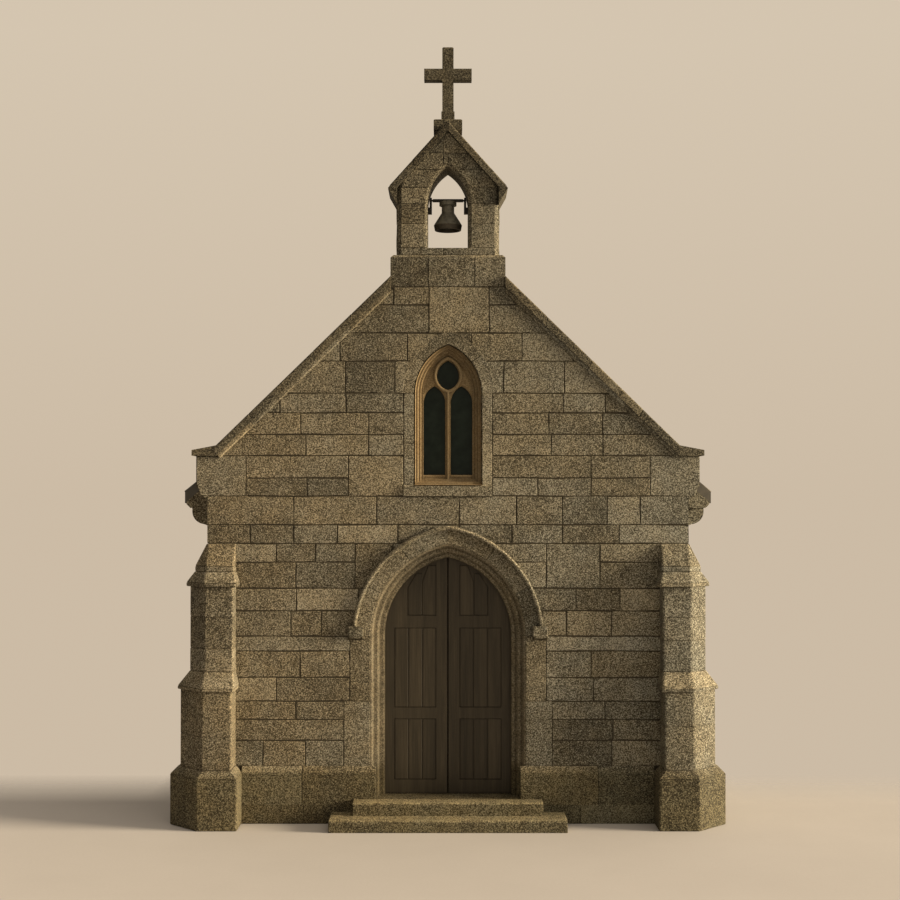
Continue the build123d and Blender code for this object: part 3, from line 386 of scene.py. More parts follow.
def makePiece(name, parts, finish, body="chapel"):  # part: points, faces, tone, hue, edge
    starts = np.cumsum([0] + [len(part[0]) for part in parts])
    points = np.concatenate([part[0] for part in parts])
    faces = np.concatenate([part[1] + start for part, start in zip(parts, starts)])
    mesh = bpy.data.meshes.new(name)
    mesh.from_pydata(points.tolist(), [], faces.tolist())
    mesh.polygons.foreach_set("use_smooth", np.ones(len(faces), bool))
    for index, word in ((2, "tone"), (3, "hue"), (4, "edge")):
        layer = mesh.attributes.new(word, "FLOAT", "POINT")
        layer.data.foreach_set("value", np.concatenate([part[index] for part in parts]).astype(np.float32))
    mesh.materials.append(finish)
    mesh.update()
    piece = bpy.data.objects.new(name, mesh)
    bpy.context.scene.collection.objects.link(piece)
    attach(piece, body)
    print(name, len(faces), "quads")


# Lines over one stone: three over each bevelled edge, one guard line inside it, and even lines between
edgeShare = np.array([0, 0.35, 1, 1.3, 1.3, 1.3, 1.3, 1.6, 2.25, 2.6])
spanShare = np.array([0, 0, 0, 0, 1 / 3, 2 / 3, 1, 1, 1, 1])
riseShare = np.array([0, 0.7, 1, 1, 1, 1, 1, 1, 0.7, 0])
lineCount = len(riseShare)
bevelLimitShare = 0.28  # of a narrow stone
bedding = 0.0006  # least height of a stone off its wall
waveRates = ((11, 5), (-7, 13), (23, 19))  # radians per metre of the waves on a face, across and up
bowRates = {"upright": 9, "level": 5}  # radians per metre of the wavers along a stone's edges
uprightShare = 0.5  # upright joints waver half as far as level ones
toneSpread = {"face": 0.42, "carried": 0.4, "slate": 0.5}
unevenShares = (0.7, 1.4)  # shortest and longest stone of a run, against the mean
guardShare = 1.4  # guard points beside an eased corner, against its flat
leastPatch = 0.02
hair = 1e-6


def pairs(lines):  # each line with the next
    return list(zip(lines[:-1], lines[1:]))


def stoneLines(low, high, cut):  # place of each line = low edge + share of the bevels + share of the span
    low = low + cut["joint"] / 2
    high = high - cut["joint"] / 2
    bevel = np.minimum(cut["bevel"], bevelLimitShare * (high - low))
    span = high - low - edgeShare[-1] * bevel
    return low[..., None] + bevel[..., None] * edgeShare + span[..., None] * spanShare


def face(origin, across, up=(0, 0, 1)):  # a flat face and the way it looks: out = across x up
    across = np.array(across, float)
    up = np.array(up, float)
    return {"origin": np.array(origin, float), "across": across, "up": up, "out": np.cross(across, up)}


def placed(wall, u, v, out):  # point = origin + u across + v up + out off the face
    u, v, out = [values[..., None] for values in np.broadcast_arrays(u, v, out)]
    return wall["origin"] + u * wall["across"] + v * wall["up"] + out * wall["out"]


def straight(p, q):
    return p, q


def bowed(place, rate, swings, share):  # wavers of two opposite edges, one going over to the other
    first, second = [np.sin(rate * place + swing) for swing in swings]
    return first * (1 - share) + second * share


def stoneTones(count, spread, each, rng):  # one tone and one hue for each stone, repeated at its points
    tone = np.clip(rng.normal(0, spread, count), -1, 1)
    return np.repeat(tone, each), np.repeat(rng.uniform(-1, 1, count), each)


def stonePatches(wall, stones, cut, rng, bounds=None, flush=None, bend=straight, crown=None):
    # each stone is a grid over its rectangle: height = rise across x rise up x (proud + waves + tilt)
    stones = np.asarray(stones, float)
    count = len(stones)
    q = stoneLines(stones[:, 2], stones[:, 3], cut)
    low = np.repeat(stones[:, :1], lineCount, 1)
    high = np.repeat(stones[:, 1:2], lineCount, 1)
    if bounds is not None:
        low, high = bounds(q, low, high)
    p = stoneLines(low, high, {**cut, "joint": cut.get("upright", cut["joint"])})
    wander = cut.get("wander", 0)
    swings = rng.uniform(0, 2 * math.pi, (4, count, 1, 1))
    p = p + wander * uprightShare * bowed(q[..., None], bowRates["upright"], swings[:2], spanShare)
    riseAcross = np.tile(riseShare, (count, 1))
    if flush is not None:  # at a corner of the building the stone runs on to meet the one round the corner
        for edge, (outer, inner), sign, limit in ((0, (0, 1), -1, low), (1, (-1, -2), 1, high)):
            chosen = flush[:, edge]
            p[chosen, :, outer] = limit[chosen] + sign * cut["proud"]
            p[chosen, :, inner] = limit[chosen]
            riseAcross[chosen, outer] = 1
            riseAcross[chosen, inner] = 1
    riseUp = np.tile(riseShare, (count, 1))
    if crown is not None:  # a crown stone keeps its height up to the middle joint
        riseUp[crown, -2:] = 1
        q[crown, -1] += cut["joint"] / 2
    rise = riseAcross[:, None, :] * riseUp[:, :, None]
    q = q[..., None] + wander * bowed(p, bowRates["level"], swings[2:], spanShare[:, None])
    phases = rng.uniform(0, 2 * math.pi, (len(waveRates), count, 1, 1))
    waves = sum(np.sin(across * p + up * q + phase) for (across, up), phase in zip(waveRates, phases))
    lean = rng.uniform(-1, 1, (2, count, 1, 1)) * cut["tilt"]
    tilt = lean[0] * (spanShare - 0.5) + lean[1] * (spanShare[:, None] - 0.5)
    height = bedding + rise * (cut["proud"] + cut["rough"] * waves / len(waveRates) + tilt)
    points = placed(wall, *bend(p, q), height).reshape(-1, 3)
    tone, hue = stoneTones(count, toneSpread["face"], lineCount**2, rng)
    return points, gridFaces(count, lineCount, lineCount), tone, hue, 1 - rise.ravel()


def courseLines(levels, height, spread, rng):  # uneven courses between fixed levels
    lines = [levels[0]]
    for low, high in pairs(levels):
        count = max(1, round((high - low) / height))
        shares = rng.uniform(1 - spread, 1 + spread, count)
        lines.extend(low + (high - low) * np.cumsum(shares) / shares.sum())
    return np.array(lines)


def splitRun(low, high, count, rng):  # joints of a run of stones, ends included
    shares = rng.uniform(*unevenShares, count)
    return low + (high - low) * np.concatenate([[0], np.cumsum(shares) / shares.sum()])


def brokenCourses(lines, left, right, cut, rng):
    # courses in pairs: some stones stand through both courses, the others are split at their own joints
    stones = []
    row = 0
    while row < len(lines) - 1:
        paired = row + 2 < len(lines) and rng.random() < cut["pairedShare"]
        beds = lines[row:row + 3] if paired else lines[row:row + 2]
        u = left
        while u < right - hair:
            tall = paired and rng.random() < cut["tallShare"]
            run = rng.uniform(*cut["tall"]) if tall else rng.uniform(*cut["run"])
            end = right if right - u - run < cut["leastRun"] else u + run
            if tall and end - u < cut["widestTall"]:
                stones.append((u, end, beds[0], beds[-1]))
            else:
                for foot, head in pairs(beds):
                    number = max(1, round((end - u) / rng.uniform(*cut["stone"])))
                    stones.extend((a, b, foot, head) for a, b in pairs(splitRun(u, end, number, rng)))
            u = end
        row += len(beds) - 1
    return np.array(stones)


def archHalf(v, half, springing, offset):  # half width at v: legs, then arcs struck past the middle
    rise = np.maximum(v - springing, 0)
    radius = half + offset
    return np.maximum(np.sqrt(np.maximum(radius**2 - rise**2, 0)) - offset, 0)


def archRise(half, offset):  # of arcs struck from offset past the middle
    return math.sqrt(half * (half + 2 * offset))


def opening(middle, foot, half, springing, offset, stepped=()):  # stepped: height and reach of long jambs
    def halfAt(v):
        width = archHalf(v, half, springing, offset)
        for level, reach in stepped:
            width = np.where(v < level, np.maximum(width, reach), width)
        return np.where(v < foot - hair, 0, width)
    crown = springing + archRise(half, offset)
    widest = max([half] + [reach for _, reach in stepped])
    return {"middle": middle, "foot": foot, "crown": crown, "half": halfAt, "widest": widest}


def cutRound(stones, openings, edge, leastWidth=0.06):
    # a stone that meets an opening is parted at its middle, and keeps the heights where it has width left
    sides = np.zeros((len(stones), len(openings)), int)
    for index, hole in enumerate(openings):
        meets = (stones[:, 3] > hole["foot"] + hair) & (stones[:, 2] < hole["crown"])
        meets &= stones[:, 0] < hole["middle"] + hole["widest"]
        meets &= stones[:, 1] > hole["middle"] - hole["widest"]
        partStones = [stones[~meets]]
        partSides = [sides[~meets]]
        for side, column, limit in ((-1, 1, np.minimum), (1, 0, np.maximum)):
            half = stones[meets]
            half[:, column] = limit(half[:, column], hole["middle"])
            which = sides[meets]
            which[:, index] = side
            wide = half[:, 1] - half[:, 0] > leastWidth
            partStones.append(half[wide])
            partSides.append(which[wide])
        stones = np.concatenate(partStones)
        sides = np.concatenate(partSides)

    def limits(q, low, high, which):
        low = np.maximum(low, -edge(q))
        high = np.minimum(high, edge(q))
        for index, hole in enumerate(openings):
            reach = hole["half"](q)
            side = which[:, index][:, None]
            low = np.where(side > 0, np.maximum(low, hole["middle"] + reach), low)
            high = np.where(side < 0, np.minimum(high, hole["middle"] - reach), high)
        return low, high

    samples = np.linspace(0.02, 0.98, 49)
    v = stones[:, 2:3] + (stones[:, 3:4] - stones[:, 2:3]) * samples
    low, high = limits(v, stones[:, :1], stones[:, 1:2], sides)
    wide = high - low > leastWidth
    kept = wide.any(1)
    first = v[np.arange(len(v)), wide.argmax(1)]
    last = v[np.arange(len(v)), len(samples) - 1 - wide[:, ::-1].argmax(1)]
    stones[:, 2] = np.where(wide[:, 0], stones[:, 2], first)
    stones[:, 3] = np.where(wide[:, -1], stones[:, 3], last)
    kept &= stones[:, 3] - stones[:, 2] > leastWidth
    stones = stones[kept]
    sides = sides[kept]

    def bounds(q, lowEdge, highEdge):
        lowEdge, highEdge = limits(q, lowEdge, highEdge, sides)
        return lowEdge, np.maximum(highEdge, lowEdge + leastPatch)

    return stones, bounds


def archRing(wall, arch, inner, cut, rng):
    # voussoirs on two arcs, each struck from offset past the middle; p is the radius, q the way round the arc
    parts = []
    offset = arch["offset"]
    reach = math.acos(offset / (arch["half"] + offset))
    radii = (inner + offset, arch["half"] + offset + arch["overlap"])
    middleRadius = sum(radii) / 2
    joints = np.linspace(0, reach * middleRadius, arch["voussoirs"] + 1)
    last = joints[-2] / middleRadius
    for side in (-1, 1):
        low, high = sorted(side * radius for radius in radii)
        stones = [(low, high, a, b) for a, b in pairs(joints)]

        def struck(p, q, side=side):  # the crown stone is drawn out to the middle joint, whatever the radius
            angle = q / middleRadius
            crownEnd = np.arccos(np.clip(offset / np.abs(p), 0, 1))
            drawn = last + (angle - last) * (crownEnd - last) / (reach - last)
            angle = np.where(angle > last, drawn, angle)
            return p * np.cos(angle) - side * offset, arch["springing"] + side * p * np.sin(angle)
        parts.append(stonePatches(wall, stones, cut, rng, bend=struck, crown=[arch["voussoirs"] - 1]))
    return parts


def jambStones(wall, middle, levels, inner, reaches, cut, rng):  # dressings up both sides of an opening
    stones = []
    for side in (-1, 1):
        for (low, high), outer in zip(pairs(levels), reaches):
            ends = sorted((middle + side * inner, middle + side * outer))
            stones.append((*ends, low, high))
    return stonePatches(wall, stones, cut, rng)


ashlar = {
    "joint": 0.013, "upright": 0.009, "bevel": 0.007, "proud": 0.010, "rough": 0.0026, "tilt": 0.004,
    "wander": 0.0045, "course": 0.31, "kneelerCourse": 0.26, "spread": 0.38, "stone": (0.5, 1.05),
    "pairedShare": 0.8, "tallShare": 0.25, "tall": (0.45, 0.85), "widestTall": 1.0, "run": (1.0, 2.1),
    "leastRun": 0.4, "seed": 29,
}
dressing = {"joint": 0.003, "bevel": 0.006, "proud": 0.010, "rough": 0.001, "tilt": 0.001}
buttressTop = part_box("buttress_front_right")[1].z
buttressInner = 2.69  # half width of a gable wall's face between its buttresses
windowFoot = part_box("front_window_surround")[0].z
doorway = {"half": 1.15, "springing": doorOrders["springing"], "offset": doorOrders["offset"], "order": 0.975,
           "jambs": [(1.515, 1.305), (doorOrders["springing"], 1.231)], "voussoirs": 3, "overlap": 0.02}
gableWindow = {"half": 0.557, "springing": 5.38, "offset": 0.237, "reveal": 0.427, "sill": 0.125,
               "joint": 4.75, "voussoirs": 2, "overlap": 0.035}
lancet = {"half": 0.225, "band": 0.14, "foot": 1.56, "sill": 1.70, "springing": 2.95, "offset": 0.12,
          "spacing": 2.2, "stones": 3, "sillProud": 0.03}
kneeler = {"joint": 2.54, "round": 0.194, "over": 0.001}  # upright joint, and the round under the end
frontWall = face((0, frontY, 0), (1, 0, 0))
rearWall = face((0, rearY, 0), (-1, 0, 0))
leftWall = face((-halfWidth, middleY, 0), (0, -1, 0))
rightWall = face((halfWidth, middleY, 0), (0, 1, 0))
stoneRng = np.random.default_rng(ashlar["seed"])
cornerLines = courseLines([buttressTop, windowFoot], ashlar["course"], ashlar["spread"], stoneRng)


def gableEdge(v):  # half width of a gable wall's face at height v
    slope = (gablePeak - v) / gableSlope
    edge = np.where(v < kneelerTop, kneeler["joint"], np.minimum(slope, halfWidth))
    edge = np.where(v < windowFoot, halfWidth, edge)
    return np.where(v < buttressTop, buttressInner, edge)


def endFlush(stones, half, near=0.01):  # which ends of the stones stand at the ends of their wall
    return np.stack([stones[:, 0] < near - half, stones[:, 1] > half - near], 1)


def cornerFlush(stones, half, near=0.01):  # which ends of the stones stand at a free corner of the building
    free = (stones[:, 2] > buttressTop - near) & (stones[:, 3] < windowFoot + near)
    return endFlush(stones, half) & free[:, None]


def bands(levels, runs, height=ashlar["course"]):  # broken courses over each run of a wall
    lines = courseLines(levels, height, ashlar["spread"], stoneRng)
    return [brokenCourses(lines, left, right, ashlar, stoneRng) for left, right in runs]


def bothSides(inner, outer):  # the runs left and right of the middle
    return [(-outer, -inner), (inner, outer)]


def gableStones(wall, top, openings, lower, name):
    half = gableWindow["half"]
    springing = gableWindow["springing"]
    crown = springing + archRise(half, gableWindow["offset"])
    heights = np.array([kneelerTop + kneeler["over"], springing, crown])
    overKneeler, atSpringing, atCrown = gableEdge(heights).tolist()
    stones = lower + [brokenCourses(cornerLines, -halfWidth, halfWidth, ashlar, stoneRng)]
    stones += bands([windowFoot, kneelerTop], bothSides(half, kneeler["joint"]), ashlar["kneelerCourse"])
    stones += bands([kneelerTop, springing], bothSides(half, overKneeler))
    stones += bands([springing, crown], [(-atSpringing, atSpringing)])
    stones += bands([crown, top], [(-atCrown, atCrown)])
    stones, bounds = cutRound(np.concatenate(stones), openings, gableEdge)
    part = stonePatches(wall, stones, ashlar, stoneRng, bounds, cornerFlush(stones, halfWidth))
    makePiece(name, [part], wallStone)


doorOpening = opening(0, 0, doorway["half"], doorway["springing"], doorway["offset"], doorway["jambs"])
windowOpening = opening(0, windowFoot, gableWindow["half"], gableWindow["springing"], gableWindow["offset"])
frontLower = []
level = plinthTop
for jambTop, reach in doorway["jambs"]:
    frontLower += bands([level, jambTop], bothSides(reach, buttressInner))
    level = jambTop
frontLower += bands([level, buttressTop], [(-buttressInner, buttressInner)])
gableStones(frontWall, bellcoteFoot, [doorOpening, windowOpening], frontLower, "frontAshlar")
rearLower = bands([plinthTop, buttressTop], [(-buttressInner, buttressInner)])
gableStones(rearWall, gablePeak, [windowOpening], rearLower, "rearAshlar")

sideInner = halfLength - halfWidth + buttressInner


def sideEdge(v):  # half length of a side wall's face at height v
    return np.where(v < buttressTop, sideInner, halfLength)


def squareOpening(middle, foot, half, head):  # room for a window's dressings
    def halfAt(v):
        return np.where((v < foot - hair) | (v > head), 0, half)
    return {"middle": middle, "foot": foot, "crown": head, "half": halfAt, "widest": half}


lancetPlaces = [(index - 1) * lancet["spacing"] for index in range(3)]
lancetOuter = lancet["half"] + lancet["band"]
lancetEdges = [place + side * lancetOuter for place in lancetPlaces for side in (-1, 1)]
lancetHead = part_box("side_window_surrounds")[1].z
between = np.reshape([-sideInner, *lancetEdges, sideInner], (-1, 2))  # runs of wall beside the lancets
for wall, name in ((leftWall, "leftAshlar"), (rightWall, "rightAshlar")):
    blocks = [squareOpening(place, lancet["foot"], lancetOuter, lancetHead) for place in lancetPlaces]
    stones = bands([plinthTop, lancet["foot"]], [(-sideInner, sideInner)])
    stones += bands([lancet["foot"], lancetHead], between)
    stones += bands([lancetHead, buttressTop], [(-sideInner, sideInner)])
    corners = np.minimum(cornerLines, gableFoot)
    stones.append(brokenCourses(corners, -halfLength, halfLength, ashlar, stoneRng))
    stones, bounds = cutRound(np.concatenate(stones), blocks, sideEdge)
    part = stonePatches(wall, stones, ashlar, stoneRng, bounds, cornerFlush(stones, halfLength))
    makePiece(name, [part], wallStone)
    trims = []
    for place in lancetPlaces:
        ends = (place - lancetOuter, place + lancetOuter)
        levels = np.linspace(lancet["sill"], lancet["springing"], lancet["stones"] + 1)
        reaches = [lancetOuter] * lancet["stones"]
        trims.append(jambStones(wall, place, levels, lancet["half"], reaches, dressing, stoneRng))
        sill = [(*ends, lancet["foot"], lancet["sill"])]
        trims.append(stonePatches(wall, sill, {**dressing, "proud": lancet["sillProud"]}, stoneRng))
        head = np.array([(*ends, lancet["springing"], lancetHead)])
        light = opening(place, lancet["springing"], lancet["half"], lancet["springing"], lancet["offset"])
        head, headBounds = cutRound(head, [light], sideEdge)
        trims.append(stonePatches(wall, head, dressing, stoneRng, headBounds))
    makePiece(name.replace("Ashlar", "WindowDressings"), trims, dressedStone)

doorLevels = [plinthTop] + [level for level, _ in doorway["jambs"]]
doorReaches = [reach for _, reach in doorway["jambs"]]
doorParts = [jambStones(frontWall, 0, doorLevels, doorway["order"], doorReaches, dressing, stoneRng)]
doorParts += archRing(frontWall, doorway, doorway["order"], dressing, stoneRng)
makePiece("doorwayDressings", doorParts, dressedStone)
sillFoot = windowFoot + gableWindow["sill"]
for wall, name in ((frontWall, "frontWindowDressings"), (rearWall, "rearWindowDressings")):
    levels = [sillFoot, gableWindow["joint"], gableWindow["springing"]]
    reaches = [gableWindow["half"]] * 2
    parts = [jambStones(wall, 0, levels, gableWindow["reveal"], reaches, dressing, stoneRng)]
    parts += archRing(wall, gableWindow, gableWindow["reveal"], dressing, stoneRng)
    makePiece(name, parts, dressedStone)

moulding = {"reach": (0.102, 0.125), "rolls": 3, "base": 0.005, "roll": 0.010, "quirk": 0.004, "least": 0.001,
            "foot": windowFoot + 0.06, "sillRise": 0.11, "sillOut": 0.04, "sillIn": 0.16, "half": 0.43}


def rolls(share):  # how far a moulding stands off its slope: a roll at each end of a share, a quirk beside it
    turn = 2 * math.pi * moulding["rolls"] * share
    return moulding["base"] + moulding["roll"] * np.cos(turn) + moulding["quirk"] * np.cos(2 * turn)


def sheet(points, normal):  # one open grid of points as a part, its faces turned to look along the normal
    flat = points.reshape(-1, 3)
    faces = turned(flat, gridFaces(1, *points.shape[:2]), np.broadcast_to(normal, points.shape))
    return flat, faces, *np.zeros((3, len(flat)))


def windowMoulding(wall, side):  # jamb and half arch: inset and depth down the splay + rolls off it
    share = np.linspace(0, 1, 49)
    slope = np.array(moulding["reach"]) / math.hypot(*moulding["reach"])
    stand = rolls(share)
    inset = share * moulding["reach"][0] + stand * slope[1]
    depth = share * moulding["reach"][1] - stand * slope[0]
    radius = gableWindow["reveal"] + gableWindow["offset"] - inset
    turn = np.linspace(0, 1, 25)[:, None] * np.arccos(gableWindow["offset"] / radius)
    u = radius * np.cos(turn) - gableWindow["offset"]
    v = gableWindow["springing"] + radius * np.sin(turn)
    u = np.concatenate([u[:1], u])
    v = np.concatenate([np.full((1, len(share)), moulding["foot"]), v])
    return sheet(placed(wall, side * u, v, -depth), wall["out"] - side * wall["across"])


def windowSill(wall):  # the weathered sill in small rolls, from its nose back to the tracery
    share = np.linspace(0, 1, 49)
    run = moulding["sillOut"] + moulding["sillIn"]
    slope = np.array([run, moulding["sillRise"]]) / math.hypot(run, moulding["sillRise"])
    stand = np.maximum(rolls(share), moulding["least"])
    depth = share * run - moulding["sillOut"] - stand * slope[1]
    v = sillFoot + share * moulding["sillRise"] + stand * slope[0]
    u = np.linspace(-1, 1, 3)[:, None] * moulding["half"]
    return sheet(placed(wall, u, v, -depth), wall["out"] + wall["up"])


tracery = {"depth": 0.160, "growth": 0.022, "half": 0.019, "stem": 0.036, "root": -0.02, "eyeHalf": 0.14,
           "eyeSpringing": gableWindow["springing"] + 0.23, "rise": 0.075, "drop": 0.039,
           "foot": sillFoot + 0.06, "pale": 2.0}


def traceryRolls(wall):  # a roll on a stem, drawn up the mullion and struck round the eye in four arcs
    turn = np.linspace(0, math.pi, 11)
    off = np.concatenate([[-1], -np.cos(turn), [1]]) * tracery["half"]
    bulge = tracery["stem"] + tracery["half"] * np.sin(turn)
    stand = np.concatenate([[tracery["root"]], bulge, [tracery["root"]]])
    half = tracery["eyeHalf"] + tracery["growth"]
    eyeFoot = tracery["eyeSpringing"] - archRise(half, tracery["drop"])
    curves = [(off, np.array([[tracery["foot"]], [eyeFoot]]))]
    for side in (-1, 1):
        for lift, offset in ((1, tracery["rise"]), (-1, tracery["drop"])):
            radius = half + off + offset
            turn = np.linspace(0, 1, 17)[:, None] * np.arccos(offset / radius)
            u = side * (radius * np.cos(turn) - offset)
            curves.append((u, tracery["eyeSpringing"] + lift * radius * np.sin(turn)))
    parts = []
    for u, v in curves:
        flat, faces, tone, hue, edge = sheet(placed(wall, u, v, stand - tracery["depth"]), wall["out"])
        # the rolls drawn paler than their stone: painted highlight
        parts.append((flat, faces, tone + tracery["pale"], hue, edge))
    return parts


for wall, name in ((frontWall, "frontWindowMouldings"), (rearWall, "rearWindowMouldings")):
    parts = [windowMoulding(wall, -1), windowMoulding(wall, 1), windowSill(wall), *traceryRolls(wall)]
    makePiece(name, parts, splayStone)


def arrised(points, arris):
    # corners of an open outline eased by a small flat, with guard points beside it, and the outward normals
    points = np.array(points, float)
    before = np.roll(points, 1, 0) - points
    after = np.roll(points, -1, 0) - points
    before /= np.linalg.norm(before, axis=1)[:, None]
    after /= np.linalg.norm(after, axis=1)[:, None]
    steps = [before * guardShare, before, after, after * guardShare]
    eased = np.stack([points + step * arris for step in steps], 1)
    eased[0] = points[0]
    eased[-1] = points[-1]
    normalBefore = np.stack([-before[:, 1], before[:, 0]], 1)
    normalAfter = np.stack([after[:, 1], -after[:, 0]], 1)
    normalBefore[0] = normalAfter[0]
    normalAfter[-1] = normalBefore[-1]
    miter = (normalBefore + normalAfter) / (1 + (normalBefore * normalAfter).sum(1))[:, None]
    outward = np.stack([normalBefore, miter, miter, normalAfter], 1)
    return eased.reshape(-1, 2)[3:-3], outward.reshape(-1, 2)[3:-3]


def carriedStones(first, last, outward, joints, cut, rng):
    # one outline carried from first to last, parted into stones: point = between + outward x proud x rise
    joints = np.asarray(joints, float)
    length = np.linalg.norm(last - first, axis=1).mean()
    lines = stoneLines(joints[:-1] * length, joints[1:] * length, cut) / length
    count = len(lines)
    share = lines[:, :, None, None]
    proud = cut["proud"] + rng.uniform(-1, 1, (count, 1, 1, 1)) * cut["rough"]
    height = bedding + proud * riseShare[:, None, None]
    points = first * (1 - share) + last * share + outward * height
    flat = points.reshape(-1, 3)
    faces = turned(flat, gridFaces(count, lineCount, len(first)), np.broadcast_to(outward, points.shape))
    tone, hue = stoneTones(count, toneSpread["carried"], lineCount * len(first), rng)
    edge = np.tile(np.repeat(1 - riseShare, len(first)), count)
    return flat, faces, tone, hue, edge


def upright(plan, z, arris, corner, flip):  # an outline in plan, eased and lifted to height z about a corner
    eased, outward = arrised(plan, arris)
    turn = np.array(flip, float)
    points = np.column_stack([eased * turn + corner, np.full(len(eased), z)])
    return points, np.column_stack([outward * turn, np.zeros(len(eased))])


buttress = {
    "arris": 0.012,
    "base": (0.444, 0.480, 0.426, 0.060), "lower": (0.320, 0.380, 0.340, 0.010),
    "lowerLip": (0.358, 0.418, 0.378, 0.010), "upper": (0.206, 0.250, 0.340, 0.0),
    "upperLip": (0.255, 0.299, 0.389, 0.0), "rest": (0.150, 0.182, 0.340, 0.0),
    "tip": (0.010, 0.010, 0.340, 0.0),
    "levels": [  # foot and its plan, top and its plan, number of stones
        (0, "base", 0.63, "base", 1), (0.63, "base", 0.72, "lower", 1), (0.72, "lower", 1.68, "lower", 2),
        (1.68, "lowerLip", 1.72, "lowerLip", 1), (1.72, "lowerLip", 1.91, "upper", 1),
        (1.91, "upper", 2.96, "upper", 3), (2.96, "upperLip", 3.01, "upperLip", 1),
        (3.01, "upperLip", 3.145, "rest", 1), (3.145, "rest", 3.21, "rest", 1),
        (3.21, "rest", 3.49, "tip", 1)],
    "cut": {"joint": 0.004, "bevel": 0.007, "proud": 0.009, "rough": 0.0015},
}


def clasp(side, front, reach, cant):  # plan round a corner, from the end wall to the side wall
    return [(-reach, 0), (-reach, -front), (cant, -front), (side, side - cant - front), (side, reach),
            (0, reach)]


buttressCorners = {"frontLeft": (-1, 1), "frontRight": (1, 1), "rearLeft": (-1, -1), "rearRight": (1, -1)}
for name, flip in buttressCorners.items():
    corner = np.array([flip[0] * halfWidth, frontY if flip[1] > 0 else rearY])
    parts = []
    for foot, footPlan, top, topPlan, number in buttress["levels"]:
        lowPoints, outward = upright(clasp(*buttress[footPlan]), foot, buttress["arris"], corner, flip)
        highPoints, _ = upright(clasp(*buttress[topPlan]), top, buttress["arris"], corner, flip)
        joints = splitRun(0, 1, number, stoneRng)
        parts.append(carriedStones(lowPoints, highPoints, outward, joints, buttress["cut"], stoneRng))
    makePiece(name + "ButtressStones", parts, wallStone)


def alongWall(profile, wall, start, end, arris):  # outline (out, height) carried along a wall
    eased, outward = arrised(profile, arris)
    base = wall["origin"] + eased[:, :1] * wall["out"] + eased[:, 1:] * wall["up"]
    normals = outward[:, :1] * wall["out"] + outward[:, 1:] * wall["up"]
    return base + start * wall["across"], base + end * wall["across"], normals


plinth = {"project": 0.065, "joint": 0.235, "top": 0.63, "weathered": 0.70, "stone": 1.1, "arris": 0.008,
          "doorHalf": 0.9, "cut": {"joint": 0.005, "bevel": 0.007, "proud": 0.009, "rough": 0.0015}}
endReach = halfWidth - buttress["base"][2]
sideReach = halfLength - buttress["base"][2]
runs = [(frontWall, -endReach, -plinth["doorHalf"]), (frontWall, plinth["doorHalf"], endReach),
        (rearWall, -endReach, endReach), (leftWall, -sideReach, sideReach),
        (rightWall, -sideReach, sideReach)]
out = plinth["project"]
plinthProfiles = [[(out, 0), (out, plinth["joint"])],
                  [(out, plinth["joint"]), (out, plinth["top"]), (0, plinth["weathered"])]]
plinthParts = []
for wall, start, end in runs:
    for profile in plinthProfiles:
        ends = alongWall(profile, wall, start, end, plinth["arris"])
        joints = splitRun(0, 1, max(2, round((end - start) / plinth["stone"])), stoneRng)
        plinthParts.append(carriedStones(*ends, joints, plinth["cut"], stoneRng))
makePiece("plinthStones", plinthParts, wallStone)

steps = {"arris": 0.014, "lower": (0.565, 0.0, 0.14, 1.454), "upper": (0.300, 0.14, 0.30, 1.177),
         "cut": {"joint": 0.002, "bevel": 0.010, "proud": 0.005, "rough": 0.0}}
stepParts = []
for name in ("lower", "upper"):
    reach, foot, top, half = steps[name]
    profile = [(reach, foot), (reach, top), (plinth["project"], top)]
    ends = alongWall(profile, frontWall, -half, half, steps["arris"])
    stepParts.append(carriedStones(*ends, [0, 1], steps["cut"], stoneRng))
makePiece("stepTreads", stepParts, stepStone)


def kneelerEdge(v):  # half width of the gable's foot: a quarter round under a square end
    share = np.clip((gableFoot + kneeler["round"] - v) / kneeler["round"], 0, 1)
    return halfWidth + (kneelerReach - halfWidth) * np.sqrt(1 - share**2)


kneelerParts = []
for wall in (frontWall, rearWall):
    ends = bothSides(kneeler["joint"], kneelerReach)
    stones = np.array([(low, high, windowFoot, kneelerTop) for low, high in ends])
    stones, bounds = cutRound(stones, [], kneelerEdge)
    kneelerParts.append(stonePatches(wall, stones, ashlar, stoneRng, bounds))
makePiece("kneelerFaces", kneelerParts, wallStone)

coping = {"thick": 0.09, "overhang": 0.055, "wall": 0.6, "bend": 2.90, "stone": 0.78, "arris": 0.010,
          "bed": 0.038, "bedOut": 0.036, "bedFoot": 1.3, "bedArris": 0.004,
          "cut": {"joint": 0.003, "bevel": 0.006, "proud": 0.006, "rough": 0.001}}


def slopeCoping(side, peak, slope, upper, lower, outline, count, arris):
    # outline (along the ridge, off the slope) carried down the slope, its upper end cut upright
    eased, outward = arrised(outline, arris)
    normal = np.array([side * slope, 0, 1]) / math.hypot(1, slope)
    along = np.array([0, 1.0, 0])
    section = eased[:, :1] * along + eased[:, 1:] * normal + np.array([0, 0, peak])
    normals = outward[:, :1] * along + outward[:, 1:] * normal
    down = np.array([side, 0, -slope])
    start = upper - eased[:, 1:] * slope / math.hypot(1, slope)
    joints = splitRun(0, 1, count, stoneRng)
    ends = (section + start * down, section + lower * down)
    return carriedStones(*ends, normals, joints, coping["cut"], stoneRng)


def capOutline(front, back, thick):  # over the back, the top and the front of a coping
    return [(back, 0), (back, thick), (front, thick), (front, 0)]


